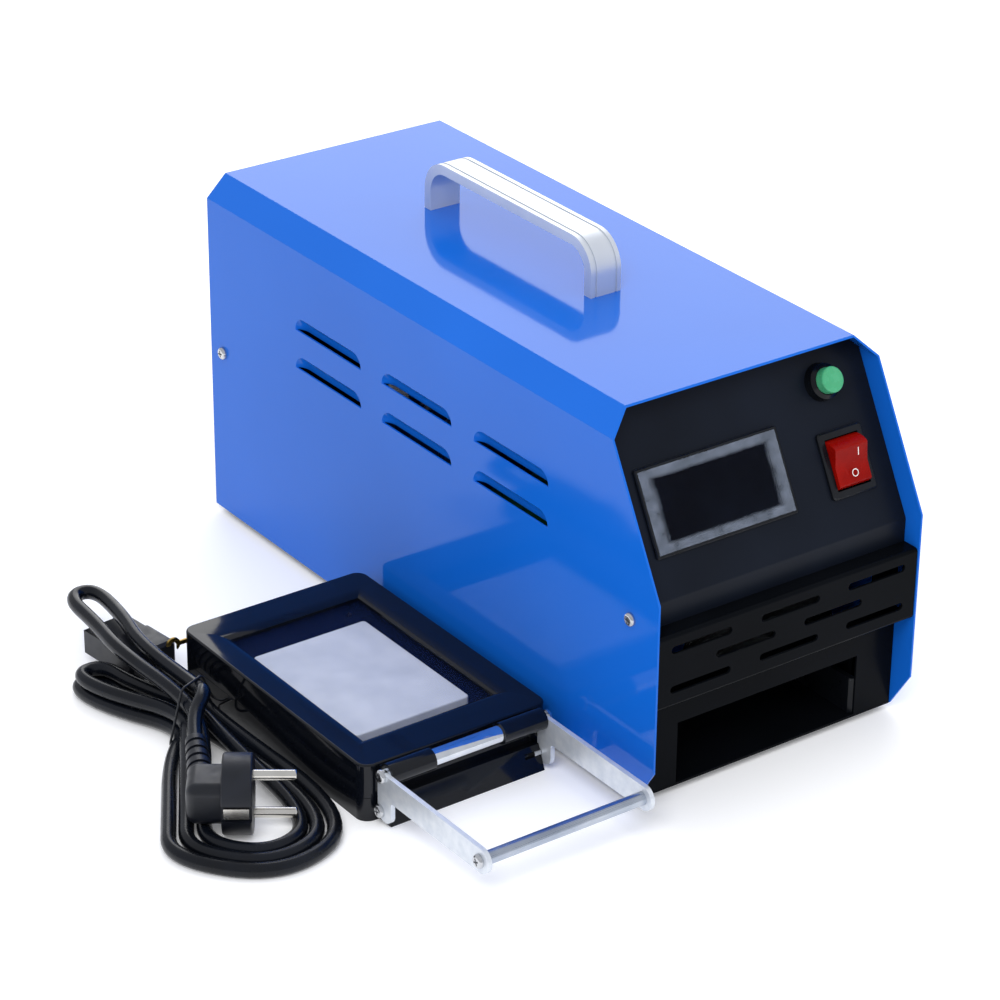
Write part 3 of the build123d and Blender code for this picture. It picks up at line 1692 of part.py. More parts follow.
nodes = {
    "housing_cover": housing_cover,
    "base_plate": base_plate,
    "front_plate": front_plate,
    "vent_hood": vent_hood,
    "control_panel": control_panel,
    "rear_panel": rear_panel,
    "cover_screws": cover_screws,
    "feet": feet,
    "carry_handle": carry_handle,
    "handle_screws": handle_screws,
    "display_housing": display_housing,
    "display_window": display_window,
    "display_film": display_film,
    "display_board": display_board,
    "button_collar": button_collar,
    "button_nut": button_nut,
    "button_cap": button_cap,
    "button_spring": button_spring,
    "rocker_frame": rocker_frame,
    "rocker": rocker,
    "rocker_terminals": rocker_terminals,
    "mains_inlet": mains_inlet,
    "inlet_pins": inlet_pins,
    "inlet_screws": inlet_screws,
    "tray_rails": tray_rails,
    "tray_stop": tray_stop,
    "glass_brackets": glass_brackets,
    "lamp_glass": lamp_glass,
    "lamp_reflector": lamp_reflector,
    "flash_tubes": flash_tubes,
    "tube_end_caps": tube_end_caps,
    "tube_holders": tube_holders,
    "capacitors": capacitors,
    "capacitor_clamp": capacitor_clamp,
    "board_standoffs": board_standoffs,
    "circuit_board": circuit_board,
    "trigger_coil": trigger_coil,
    "tray_base": tray_base,
    "tray_lid": tray_lid,
    "lid_glass": lid_glass,
    "press_plate": press_plate,
    "press_springs": press_springs,
    "hinge_tube": hinge_tube,
    "left_bracket": left_bracket,
    "right_bracket": right_bracket,
    "bracket_screws": bracket_screws,
    "handle_rod": handle_rod,
    "rod_screws": rod_screws,
    "latch_hook_left": latch_hook_left,
    "latch_hook_right": latch_hook_right,
    "latch_pivots": latch_pivots,
    "latch_catches": latch_catches,
    "cord_hank": cord_hank,
    "connector_body": connector_body,
    "plug_body": plug_body,
    "plug_pins": plug_pins,
    "cord_tie": cord_tie,
}

os.makedirs("parts", exist_ok=True)
for name, make in nodes.items():
    export_step(make(), f"parts/{name}.step")
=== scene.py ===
import json
import math
import random

import bpy
from mathutils import Matrix, Vector


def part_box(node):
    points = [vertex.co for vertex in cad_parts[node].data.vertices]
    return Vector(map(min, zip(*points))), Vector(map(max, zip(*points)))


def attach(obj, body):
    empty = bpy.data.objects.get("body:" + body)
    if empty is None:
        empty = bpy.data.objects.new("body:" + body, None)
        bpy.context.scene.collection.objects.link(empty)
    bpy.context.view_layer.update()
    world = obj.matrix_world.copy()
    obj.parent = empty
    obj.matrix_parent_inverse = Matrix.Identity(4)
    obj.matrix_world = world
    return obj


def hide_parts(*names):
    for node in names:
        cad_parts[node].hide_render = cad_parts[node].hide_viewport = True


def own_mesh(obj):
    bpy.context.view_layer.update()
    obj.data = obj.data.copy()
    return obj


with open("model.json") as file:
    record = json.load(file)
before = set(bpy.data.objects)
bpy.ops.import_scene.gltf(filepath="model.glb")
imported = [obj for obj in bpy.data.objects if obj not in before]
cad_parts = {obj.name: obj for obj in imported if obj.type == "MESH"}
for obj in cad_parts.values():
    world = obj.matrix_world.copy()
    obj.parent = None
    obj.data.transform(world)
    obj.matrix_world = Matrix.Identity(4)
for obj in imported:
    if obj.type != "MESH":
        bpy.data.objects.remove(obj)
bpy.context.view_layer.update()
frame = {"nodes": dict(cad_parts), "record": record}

nodes = frame["nodes"]
MM = 0.001

# The sloping panel rises this far back and up; from it come the way out of the panel and the way up it
panel_rise = (0.4766, 0.8791)
panel_turn = math.atan2(panel_rise[1], panel_rise[0])
slope_out = Vector((0, -panel_rise[1], panel_rise[0]))
slope_up = Vector((0, *panel_rise))


def middle_of(name):
    """The middle of a piece's box, in metres."""
    low, high = (Vector(corner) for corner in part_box(name))
    return (low + high) / 2


# Colours and nodes

# Nearly all of a noise pattern's values lie between these two
noise_low = 0.3
noise_high = 0.7


def srgb(code, alpha=1.0):
    """A written sRGB colour as the linear values that a shader takes."""
    values = [int(code[i:i + 2], 16) / 255 for i in (1, 3, 5)]
    linear = [v / 12.92 if v <= 0.04045 else ((v + 0.055) / 1.055) ** 2.4 for v in values]
    return (*linear, alpha)


def feed(tree, node, **links):
    """Gives inputs of a node a number or colour, or the output that feeds them."""
    for name, value in links.items():
        socket = node.inputs[int(name[1:])] if name[0] == "_" else node.inputs[name.replace("_", " ")]
        if isinstance(value, bpy.types.NodeSocket):
            tree.links.new(value, socket)
        else:
            socket.default_value = value


def add(tree, kind, settings=None, **links):
    """Adds a node with its settings and with what its inputs are given; _6 stands for input 6."""
    node = tree.nodes.new(kind)
    for name, value in (settings or {}).items():
        setattr(node, name, value)
    feed(tree, node, **links)
    return node


def per_mm(size):
    """The scale of a pattern whose spacing is size millimetres."""
    return 1 / (size * MM)


def surface(name, colours, patch, gloss, streak, grain, depth, stretch=(1, 1, 1), **shader):
    """A material whose colour drifts between two colours over patches, whose roughness varies between
    two glosses over streaks, and whose surface has a grain of some depth. Sizes are in millimetres.
    A stretch below 1 draws streaks and grain out along that axis."""
    made = bpy.data.materials.new(name)
    made.use_nodes = True
    tree = made.node_tree
    principled = tree.nodes["Principled BSDF"]
    place = add(tree, "ShaderNodeTexCoord").outputs["Object"]
    drawn = add(tree, "ShaderNodeMapping", Vector=place, Scale=stretch).outputs["Vector"]
    patches = add(tree, "ShaderNodeTexNoise", Vector=place, Scale=per_mm(patch), Detail=2.0)
    spread = add(
        tree,
        "ShaderNodeMapRange",
        Value=patches.outputs[0],
        From_Min=noise_low,
        From_Max=noise_high,
    )
    colour = add(
        tree,
        "ShaderNodeMix",
        {"data_type": "RGBA"},
        Factor=spread.outputs[0],
        _6=srgb(colours[0]),
        _7=srgb(colours[1]),
    )
    streaks = add(tree, "ShaderNodeTexNoise", Vector=drawn, Scale=per_mm(streak), Detail=2.0)
    rough = add(
        tree,
        "ShaderNodeMapRange",
        Value=streaks.outputs[0],
        From_Min=noise_low,
        From_Max=noise_high,
        To_Min=gloss[0],
        To_Max=gloss[1],
    )
    pores = add(tree, "ShaderNodeTexNoise", Vector=drawn, Scale=per_mm(grain), Detail=1.0)
    relief = add(tree, "ShaderNodeBump", Height=pores.outputs[0], Distance=depth * MM)
    feed(
        tree,
        principled,
        Base_Color=colour.outputs[2],
        Roughness=rough.outputs[0],
        Normal=relief.outputs[0],
        **shader,
    )
    return made


# Finishes of the housing

def blue_stoved_enamel():
    """Stoved enamel on folded steel: one deep, even blue with a clean shine and faint orange peel."""
    return surface(
        "blue_stoved_enamel",
        ("#1060C4", "#1465CC"),
        patch=120, gloss=(0.07, 0.09), streak=60, grain=2.2, depth=0.001,
        IOR=1.5, Specular_IOR_Level=0.22,
    )


def zinc_plated_sheet():
    """Bright zinc plating on rolled sheet: grey metal with soft cloudy patches."""
    return surface(
        "zinc_plated_sheet",
        ("#8F969D", "#AAB0B6"),
        patch=9, gloss=(0.38, 0.5), streak=5, grain=0.8, depth=0.01,
        Metallic=1.0,
    )


def black_enamel():
    """Gloss black enamel on the lower front and the hood: nearly black, with a soft shine."""
    return surface(
        "black_enamel",
        ("#07090C", "#0B0D11"),
        patch=60, gloss=(0.2, 0.26), streak=24, grain=1.8, depth=0.003,
        IOR=1.5, Specular_IOR_Level=0.03,
    )


def graphite_enamel():
    """Satin graphite enamel on the sloping panel: a dark slate that spreads its highlights."""
    return surface(
        "graphite_enamel",
        ("#0F131B", "#141923"),
        patch=55, gloss=(0.3, 0.36), streak=20, grain=0.5, depth=0.006,
        IOR=1.48, Specular_IOR_Level=0.1,
    )


def nickel_plate():
    """Bright nickel on pressed screws: pale mirror metal with faint wear."""
    return surface(
        "nickel_plate",
        ("#B9BBBE", "#D2D3D4"),
        patch=3, gloss=(0.16, 0.26), streak=1.2, grain=0.4, depth=0.004,
        Metallic=1.0,
    )


def black_rubber():
    """Moulded black rubber: matt, a little dusty."""
    return surface(
        "black_rubber",
        ("#121315", "#1E1F22"),
        patch=4, gloss=(0.7, 0.85), streak=2, grain=0.5, depth=0.02,
        IOR=1.52,
    )


def anodised_strap():
    """Satin anodised aluminium strap, drawn along its length: fine lines that run with its bend."""
    along_bend = (1, 0.02, 0.02)
    return surface(
        "anodised_strap",
        ("#D2D7DE", "#DEE2E7"),
        patch=30, gloss=(0.42, 0.48), streak=0.8, grain=0.8, depth=0.001, stretch=along_bend,
        Metallic=0.6,
    )


# Finishes of the controls

def moulded_black_abs():
    """Moulded black ABS with a fine spark-eroded texture."""
    return surface(
        "moulded_black_abs",
        ("#0A0C10", "#101318"),
        patch=12, gloss=(0.26, 0.38), streak=6, grain=0.35, depth=0.01,
        IOR=1.53, Specular_IOR_Level=0.25,
    )


def smoked_acrylic():
    """Smoked acrylic window: almost black, polished flat."""
    return surface(
        "smoked_acrylic",
        ("#08090F", "#0C0F17"),
        patch=25, gloss=(0.04, 0.08), streak=15, grain=20, depth=0.001,
        IOR=1.49, Specular_IOR_Level=0.03,
    )


# The film lies on the window, whose half size is in millimetres. Shares of that half size say where the
# film begins to lift, where it is milky through and through, and how far its edge wanders.
window_half = (32.0, 14.5)
film_lift = 0.93
film_milky = 1.06
film_waver = 0.015
film_opacity = 0.18
film_cloud = 8
film_cloud_low = 0.35
film_cloud_high = 0.7


def milky_film():
    """Polyethylene film left on the display: clear where it lies flat on the window, milky where it
    lifts over the frame, with shallow creases that catch the light."""
    made = surface(
        "milky_film",
        ("#7C8798", "#B4C0D6"),
        patch=6, gloss=(0.08, 0.26), streak=5, grain=9, depth=0.9,
        IOR=1.51, Specular_IOR_Level=0.5,
    )
    tree = made.node_tree
    place = add(tree, "ShaderNodeTexCoord").outputs["Object"]
    flat = add(
        tree,
        "ShaderNodeMapping",
        {"vector_type": "TEXTURE"},
        Vector=place,
        Location=middle_of("display_film"),
        Rotation=(panel_turn, 0, 0),
        Scale=(window_half[0] * MM, window_half[1] * MM, 1),
    )
    folded = add(tree, "ShaderNodeVectorMath", {"operation": "ABSOLUTE"}, _0=flat.outputs[0])
    parts = add(tree, "ShaderNodeSeparateXYZ", Vector=folded.outputs[0])
    rim = add(tree, "ShaderNodeMath", {"operation": "MAXIMUM"}, _0=parts.outputs[0], _1=parts.outputs[1])
    clouds = add(tree, "ShaderNodeTexNoise", Vector=place, Scale=per_mm(film_cloud), Detail=4.0)
    uneven = add(
        tree,
        "ShaderNodeMapRange",
        Value=clouds.outputs[0],
        From_Min=film_cloud_low,
        From_Max=film_cloud_high,
        To_Min=-film_waver,
        To_Max=film_waver,
    )
    lifted = add(tree, "ShaderNodeMath", {"operation": "ADD"}, _0=rim.outputs[0], _1=uneven.outputs[0])
    cover = add(
        tree,
        "ShaderNodeMapRange",
        Value=lifted.outputs[0],
        From_Min=film_lift,
        From_Max=film_milky,
        To_Min=0.0,
        To_Max=film_opacity,
    )
    feed(tree, tree.nodes["Principled BSDF"], Alpha=cover.outputs[0])
    return made


def green_laminate():
    """Solder-masked glass laminate: dark green with the weave just showing."""
    return surface(
        "green_laminate",
        ("#175430", "#22703F"),
        patch=6, gloss=(0.3, 0.45), streak=3, grain=0.5, depth=0.01,
        IOR=1.52,
    )


def polished_black_collar():
    """Polished black ABS collar of the push button."""
    return surface(
        "polished_black_collar",
        ("#06080B", "#0B0D11"),
        patch=6, gloss=(0.14, 0.24), streak=3, grain=0.8, depth=0.004,
        IOR=1.53, Specular_IOR_Level=0.2,
    )


def jade_green_abs():
    """Jade green ABS cap, coloured right through, with a satin shine; a little light passes its rim."""
    return surface(
        "jade_green_abs",
        ("#3F9A6B", "#4DA679"),
        patch=8, gloss=(0.22, 0.32), streak=4, grain=0.9, depth=0.005,
        IOR=1.53, Specular_IOR_Level=0.3, Subsurface_Weight=0.08, Subsurface_Scale=0.002,
    )


def signal_red_nylon():
    """Deep signal red nylon rocker with a satin shine, slightly translucent at its thin edges."""
    return surface(
        "signal_red_nylon",
        ("#7C0702", "#8C0C03"),
        patch=9, gloss=(0.2, 0.3), streak=5, grain=0.9, depth=0.005,
        IOR=1.53, Specular_IOR_Level=0.1, Subsurface_Weight=0.1, Subsurface_Scale=0.003,
    )


def white_marking_ink():
    """White marking ink, slightly proud and dull."""
    return surface(
        "white_marking_ink",
        ("#E8E6E2", "#F6F4F0"),
        patch=2, gloss=(0.4, 0.55), streak=1, grain=0.4, depth=0.002,
        IOR=1.5,
    )


def tinned_contact():
    """Nickel plated brass contacts: bright, faintly yellow."""
    return surface(
        "tinned_contact",
        ("#CFCBC2", "#DAD7CF"),
        patch=12, gloss=(0.16, 0.2), streak=6, grain=1.2, depth=0.001,
        Metallic=1.0,
    )


def spring_steel():
    """Drawn spring wire: mid grey, half bright steel."""
    return surface(
        "spring_steel",
        ("#8E9297", "#A9ADB2"),
        patch=2, gloss=(0.25, 0.36), streak=1, grain=0.3, depth=0.002,
        Metallic=1.0,
    )


# Finishes inside the housing

def bright_rolled_aluminium():
    """Bright rolled aluminium of the reflector, with the mill's fine lines along Y."""
    along_y = (1, 0.03, 1)
    return surface(
        "bright_rolled_aluminium",
        ("#CBCFD4", "#DADDE1"),
        patch=20, gloss=(0.14, 0.24), streak=0.8, grain=0.8, depth=0.004, stretch=along_y,
        Metallic=1.0,
    )


def clear_float_glass():
    """Thin clear float glass: all but invisible face on, a shade bluer than what is behind, with a
    clean reflection."""
    return surface(
        "clear_float_glass",
        ("#3C5299", "#455CA4"),
        patch=60, gloss=(0.01, 0.03), streak=40, grain=50, depth=0.0005,
        IOR=1.52, Alpha=0.05,
    )


def steatite():
    """White steatite ceramic, unglazed."""
    return surface(
        "steatite",
        ("#DDD8CB", "#ECE8DE"),
        patch=3, gloss=(0.6, 0.75), streak=2, grain=0.5, depth=0.02,
        IOR=1.6,
    )


def blue_shrink_sleeve():
    """Blue heat-shrunk sleeve of a capacitor, with the soft ripple that the heat leaves."""
    return surface(
        "blue_shrink_sleeve",
        ("#1B3162", "#264179"),
        patch=14, gloss=(0.22, 0.34), streak=8, grain=3, depth=0.02,
        IOR=1.54,
    )


def lacquered_winding():
    """Lacquered copper wire wound side by side: fine ridges across X with a brown gloss."""
    around_x = (4, 0.05, 0.05)
    return surface(
        "lacquered_winding",
        ("#7A3C1C", "#9A5430"),
        patch=4, gloss=(0.3, 0.42), streak=2, grain=0.8, depth=0.08, stretch=around_x,
        Metallic=0.6,
    )


# Finishes of the tray

def piano_black_moulding():
    """Polished black moulding: a deep mirror whose gloss varies in fine lines along X."""
    along_x = (0.06, 1, 1)
    return surface(
        "piano_black_moulding",
        ("#07090E", "#0C0F16"),
        patch=45, gloss=(0.06, 0.1), streak=0.7, grain=9, depth=0.003, stretch=along_x,
        IOR=1.53, Specular_IOR_Level=0.3,
    )


def white_foam_facing():
    """White silicone foam that faces the pressing plate: dull, fine-pored, with soft mottling."""
    return surface(
        "white_foam_facing",
        ("#C6CBD4", "#D6DAE1"),
        patch=16, gloss=(0.6, 0.75), streak=6, grain=0.5, depth=0.03,
        IOR=1.45,
    )


def polished_chrome():
    """Polished chrome on the barrel's tube: a near mirror."""
    return surface(
        "polished_chrome",
        ("#D2D6DC", "#E4E7EB"),
        patch=9, gloss=(0.05, 0.1), streak=3, grain=2, depth=0.001,
        Metallic=1.0,
    )


def mottled_zinc():
    """Zinc plated bracket: pale grey with the cloudy spots that passivation leaves."""
    return surface(
        "mottled_zinc",
        ("#CDD3DB", "#DFE3E8"),
        patch=5, gloss=(0.3, 0.36), streak=3, grain=0.7, depth=0.004,
        Metallic=0.5,
    )


def drawn_steel_rod():
    """Drawn steel bar: satin, slightly blue, with lines along its length."""
    along_x = (0.02, 1, 1)
    return surface(
        "drawn_steel_rod",
        ("#A4ADBB", "#BEC5CF"),
        patch=16, gloss=(0.24, 0.36), streak=0.5, grain=0.5, depth=0.006, stretch=along_x,
        Metallic=1.0,
    )


def stamped_brass():
    """Stamped brass hook and screws, lightly tarnished."""
    return surface(
        "stamped_brass",
        ("#A58743", "#C6A85E"),
        patch=2.5, gloss=(0.24, 0.4), streak=1.4, grain=0.5, depth=0.008,
        Metallic=1.0,
    )


# Finishes of the lead

def black_pvc_sheath():
    """Soft PVC sheath: blue-black and shiny, a little uneven where it was coiled."""
    return surface(
        "black_pvc_sheath",
        ("#07090E", "#0C1018"),
        patch=22, gloss=(0.2, 0.3), streak=6, grain=2.2, depth=0.01,
        IOR=1.52, Specular_IOR_Level=0.25,
    )


def black_pvc_moulding():
    """PVC moulded round the plug and the connector: black with a satin skin."""
    return surface(
        "black_pvc_moulding",
        ("#0C0F15", "#13161E"),
        patch=10, gloss=(0.34, 0.46), streak=5, grain=0.6, depth=0.015,
        IOR=1.52, Specular_IOR_Level=0.4,
    )


def coated_tie_wire():
    """Thin steel wire in a black plastic coat."""
    return surface(
        "coated_tie_wire",
        ("#0D0F13", "#17191F"),
        patch=3, gloss=(0.3, 0.45), streak=2, grain=0.6, depth=0.01,
        IOR=1.5,
    )


# Finish of the floor, which glows a little so that it shows white

paper_glow = 0.12


def white_paper_roll():
    """Matt white background paper under the object."""
    return surface(
        "white_paper_roll",
        ("#F8F8F9", "#FBFBFB"),
        patch=400, gloss=(0.85, 0.95), streak=90, grain=1.5, depth=0.001,
        Specular_IOR_Level=0.1, Emission_Color=srgb("#FFFFFF"), Emission_Strength=paper_glow,
    )


finishes = {
    "housing_paint": blue_stoved_enamel(),
    "chassis_steel": zinc_plated_sheet(),
    "front_paint": black_enamel(),
    "panel_paint": graphite_enamel(),
    "screw_nickel": nickel_plate(),
    "foot_rubber": black_rubber(),
    "handle_aluminium": anodised_strap(),
    "display_plastic": moulded_black_abs(),
    "display_window": smoked_acrylic(),
    "display_film": milky_film(),
    "board_green": green_laminate(),
    "button_collar": polished_black_collar(),
    "button_green": jade_green_abs(),
    "spring_steel": spring_steel(),
    "rocker_red": signal_red_nylon(),
    "contact_metal": tinned_contact(),
    "reflector_aluminium": bright_rolled_aluminium(),
    "lamp_glass": clear_float_glass(),
    "holder_ceramic": steatite(),
    "capacitor_sleeve": blue_shrink_sleeve(),
    "coil_copper": lacquered_winding(),
    "tray_black": piano_black_moulding(),
    "plate_white": white_foam_facing(),
    "tube_chrome": polished_chrome(),
    "bracket_zinc": mottled_zinc(),
    "rod_steel": drawn_steel_rod(),
    "latch_brass": stamped_brass(),
    "cord_pvc": black_pvc_sheath(),
    "plug_pvc": black_pvc_moulding(),
    "tie_wire": coated_tie_wire(),
}
finishes["tray_glass"] = finishes["lamp_glass"]
marking_ink = white_marking_ink()


def dress(piece, finish):
    """Gives a piece one finish all over."""
    piece.data.materials.clear()
    piece.data.materials.append(finish)


# Edges: sheet and moulded pieces get a small round, in millimetres, and the others keep their corners

corner_angle = math.radians(32)
flat_angle = math.radians(0.5)
join_gap = 0.002
round_steps = 2
flat_face_weight = 80
edge_rounds = {
    "housing_cover": 0.35,
    "front_plate": 0.3,
    "vent_hood": 0.3,
    "control_panel": 0.3,
    "tray_base": 0.5,
    "tray_lid": 0.3,
    "left_bracket": 0.25,
    "right_bracket": 0.25,
    "press_plate": 0.4,
    "latch_hook_left": 0.15,
    "latch_hook_right": 0.15,
}


def soften_edges(piece, width):
    """Joins a piece's loose triangles and rounds its sharp edges, with flat faces kept flat."""
    weld = piece.modifiers.new("join", "WELD")
    weld.merge_threshold = join_gap * MM
    for face in piece.data.polygons:
        face.use_smooth = True
    if not width:
        split = piece.modifiers.new("keep_corners", "EDGE_SPLIT")
        split.split_angle = corner_angle
        return
    flatten = piece.modifiers.new("merge_flat", "DECIMATE")
    flatten.decimate_type = "DISSOLVE"
    flatten.angle_limit = flat_angle
    round_over = piece.modifiers.new("round_over", "BEVEL")
    round_over.width = width * MM
    round_over.segments = round_steps
    round_over.limit_method = "ANGLE"
    round_over.angle_limit = corner_angle
    level = piece.modifiers.new("level", "WEIGHTED_NORMAL")
    level.weight = flat_face_weight


slots = {part["node"]: part["material_slot"] for part in frame["record"]["subparts"]}
for name, piece in nodes.items():
    dress(piece, finishes[slots[name]])
    soften_edges(piece, edge_rounds.get(name, 0))


# Springs, each given a mesh of its own


def shorten_with(name):
    """Gives a spring a mesh of its own."""
    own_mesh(nodes[name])


shorten_with("press_springs")
shorten_with("button_spring")


# Cross-recess screws, modelled once and set where the solids have plain heads; sizes in millimetres

screw_head = 2.1
screw_head_rim = 3.2
screw_crown = screw_head * 0.7
screw_crown_steps = 5
screw_shank = 1.5
screw_length = 6.0
recess_length = 3.4
recess_width = 0.8
recess_depth = 1.1
same_head = 2.1 * screw_head_rim
facing_up = 0.9


def select_only(*pieces):
    """Selects these pieces and nothing else, with the first one active."""
    bpy.ops.object.select_all(action="DESELECT")
    for piece in pieces:
        piece.select_set(True)
    bpy.context.view_layer.objects.active = pieces[0]


def cross_recess_screw():
    """A pan head screw with its axis on Z and its head's underside at zero."""
    bpy.ops.object.select_all(action="DESELECT")
    bpy.ops.mesh.primitive_cylinder_add(
        vertices=40, radius=screw_head_rim * MM, depth=screw_head * MM, location=(0, 0, screw_head / 2 * MM)
    )
    head = bpy.context.object
    bpy.ops.object.mode_set(mode="EDIT")
    bpy.ops.mesh.select_mode(type="FACE")
    bpy.ops.mesh.select_all(action="DESELECT")
    bpy.ops.object.mode_set(mode="OBJECT")
    for face in head.data.polygons:
        face.select = face.normal.z > facing_up
    bpy.ops.object.mode_set(mode="EDIT")
    bpy.ops.mesh.bevel(offset=screw_crown * MM, segments=screw_crown_steps, affect="EDGES")
    bpy.ops.object.mode_set(mode="OBJECT")
    cutters = []
    for size in ((recess_length, recess_width), (recess_width, recess_length)):
        bpy.ops.mesh.primitive_cube_add(size=MM, location=(0, 0, screw_head * MM))
        cutter = bpy.context.object
        cutter.scale = (*size, 2 * recess_depth)
        cutters.append(cutter)
    for cutter in cutters:
        select_only(head)
        cut = head.modifiers.new("recess", "BOOLEAN")
        cut.operation = "DIFFERENCE"
        cut.object = cutter
        bpy.ops.object.modifier_apply(modifier=cut.name)
    select_only(*cutters)
    bpy.ops.object.delete()
    bpy.ops.mesh.primitive_cylinder_add(
        vertices=24, radius=screw_shank * MM, depth=screw_length * MM, location=(0, 0, -screw_length / 2 * MM)
    )
    shank = bpy.context.object
    select_only(head, shank)
    bpy.ops.object.join()
    select_only(head)
    bpy.ops.object.transform_apply(location=True, rotation=True, scale=True)
    bpy.ops.object.shade_smooth_by_angle(angle=corner_angle)
    return head


def screw_places(node):
    """Centre and outward side of every head in a node of screws that lie along X."""
    middle = sum(corner[0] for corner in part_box(node)) / 2
    heads = []
    for vertex in nodes[node].data.vertices:
        side = 1 if vertex.co.x > middle else -1
        for head_side, points in heads:
            if head_side == side and (vertex.co - points[0]).yz.length < same_head * MM:
                points.append(vertex.co)
                break
        else:
            heads.append((side, [vertex.co]))
    for side, points in heads:
        outer = max(point.x * side for point in points) * side
        y = (min(point.y for point in points) + max(point.y for point in points)) / 2
        z = (min(point.z for point in points) + max(point.z for point in points)) / 2
        yield side, Vector((outer - side * screw_head * MM, y, z))


def set_screws(pattern, node, body):
    """Puts a copy of the screw in every place, each with its recess turned its own way."""
    for side, place in screw_places(node):
        screw = pattern.copy()
        screw.data = pattern.data.copy()
        screw.name = node + "_screw"
        bpy.context.collection.objects.link(screw)
        turn = Matrix.Rotation(math.radians(side * 90), 4, "Y")
        spin = Matrix.Rotation(random.uniform(0, math.pi), 4, "Z")
        screw.matrix_world = Matrix.Translation(place) @ turn @ spin
        select_only(screw)
        bpy.ops.object.transform_apply(location=True, rotation=True, scale=True)
        dress(screw, finishes["screw_nickel"])
        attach(screw, body)
        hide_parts(node)


random.seed(11)
screw_pattern = cross_recess_screw()
for node, body in (("cover_screws", "housing"), ("bracket_screws", "tray"), ("rod_screws", "tray")):
    set_screws(screw_pattern, node, body)
select_only(screw_pattern)
bpy.ops.object.delete()


# Marks on the rocker switch: an upright bar and a ring; sizes in millimetres

mark_length = 3.6
mark_width = 0.38
mark_height = 0.1
facing_out = 0.8


def rocker_face(way):
    """Centre and normal of the rocker's upper (1) or lower (-1) face."""
    middle = middle_of("rocker")
    centre, normal = Vector(), Vector()
    for face in nodes["rocker"].data.polygons:
        if face.normal.dot(slope_out) > facing_out and (face.center - middle).dot(slope_up) * way > 0:
            centre += face.center * face.area
            normal += face.normal * face.area
    return centre / normal.length, normal.normalized()


def set_mark(mark, way):
    """Lays a mark drawn on the XY plane on a face of the rocker."""
    centre, normal = rocker_face(way)
    across = Vector((1, 0, 0))
    turn = Matrix((across, normal.cross(across), normal)).transposed().to_4x4()
    mark.matrix_world = Matrix.Translation(centre) @ turn @ Matrix.Diagonal((*mark.scale, 1))
    select_only(mark)
    bpy.ops.object.transform_apply(location=True, rotation=True, scale=True)
    dress(mark, marking_ink)
    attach(mark, "rocker")


bpy.ops.mesh.primitive_cube_add(size=MM)
on_mark = bpy.context.object
on_mark.name = "on_mark"
on_mark.scale = (mark_width, mark_length, mark_height)
set_mark(on_mark, 1)
bpy.ops.mesh.primitive_torus_add(
    major_segments=40,
    minor_segments=8,
    major_radius=(mark_length - mark_width) / 2 * MM,
    minor_radius=mark_width / 2 * MM,
)
off_mark = bpy.context.object
off_mark.name = "off_mark"
off_mark.scale = (1, 1, mark_height / mark_width)
set_mark(off_mark, -1)


# Camera, at the photograph's place; lengths in metres

camera_place = Vector((-0.8889, -1.1852, 0.8175))
camera_azimuth = math.radians(-36.63)
camera_elevation = math.radians(27.15)
camera_roll = math.radians(0.877)
camera_reach = 20
focal_pixels = 3471.9
photo_pixels = 1000
sensor_mm = 36
axis_pixel = (532.9, 503.7)


def place_camera():
    """Looks along the solved direction, with the lens axis at its own pixel of the frame."""
    camera = bpy.data.cameras.new("camera")
    camera.sensor_width = sensor_mm
    camera.lens = focal_pixels / photo_pixels * sensor_mm
    camera.shift_x = (photo_pixels / 2 - axis_pixel[0]) / photo_pixels
    camera.shift_y = (axis_pixel[1] - photo_pixels / 2) / photo_pixels
    camera.clip_end = camera_reach
    back = Vector(
        (
            math.sin(camera_azimuth) * math.cos(camera_elevation),
            -math.cos(camera_azimuth) * math.cos(camera_elevation),
            math.sin(camera_elevation),
        )
    )
    level = (-back).cross(Vector((0, 0, 1))).normalized()
    upright = level.cross(-back)
    c, s = math.cos(camera_roll), math.sin(camera_roll)
    right = level * c + upright * s
    up = upright * c - level * s
    holder = bpy.data.objects.new("camera", camera)
    bpy.context.collection.objects.link(holder)
    turn = Matrix((right, up, back)).transposed()
    holder.matrix_world = Matrix.Translation(camera_place) @ turn.to_4x4()
    bpy.context.scene.camera = holder


place_camera()
bpy.context.scene.view_settings.view_transform = "Standard"


# World, lamps and floor; lengths in metres. Only the gleam on the roof is seen in reflections.

sky_level = 0.7
floor_width = 12
lamps = {
    "key": dict(place=(-1.3, -1.2, 1.9), aim=(-0.05, 0.0, 0.08), size=1.3, power=30.0, mirrored=False),
    "fill": dict(place=(1.5, -1.5, 1.2), aim=(0.0, -0.05, 0.1), size=1.4, power=8.0, mirrored=False),
    "top": dict(place=(0.1, 0.5, 2.2), aim=(0.0, 0.0, 0.1), size=1.6, power=9.0, mirrored=False),
    "roof_gleam": dict(place=(1.7, 2.1, 1.45), aim=(0.0, 0.0, 0.17), size=2.6, power=35.0, mirrored=True),
}


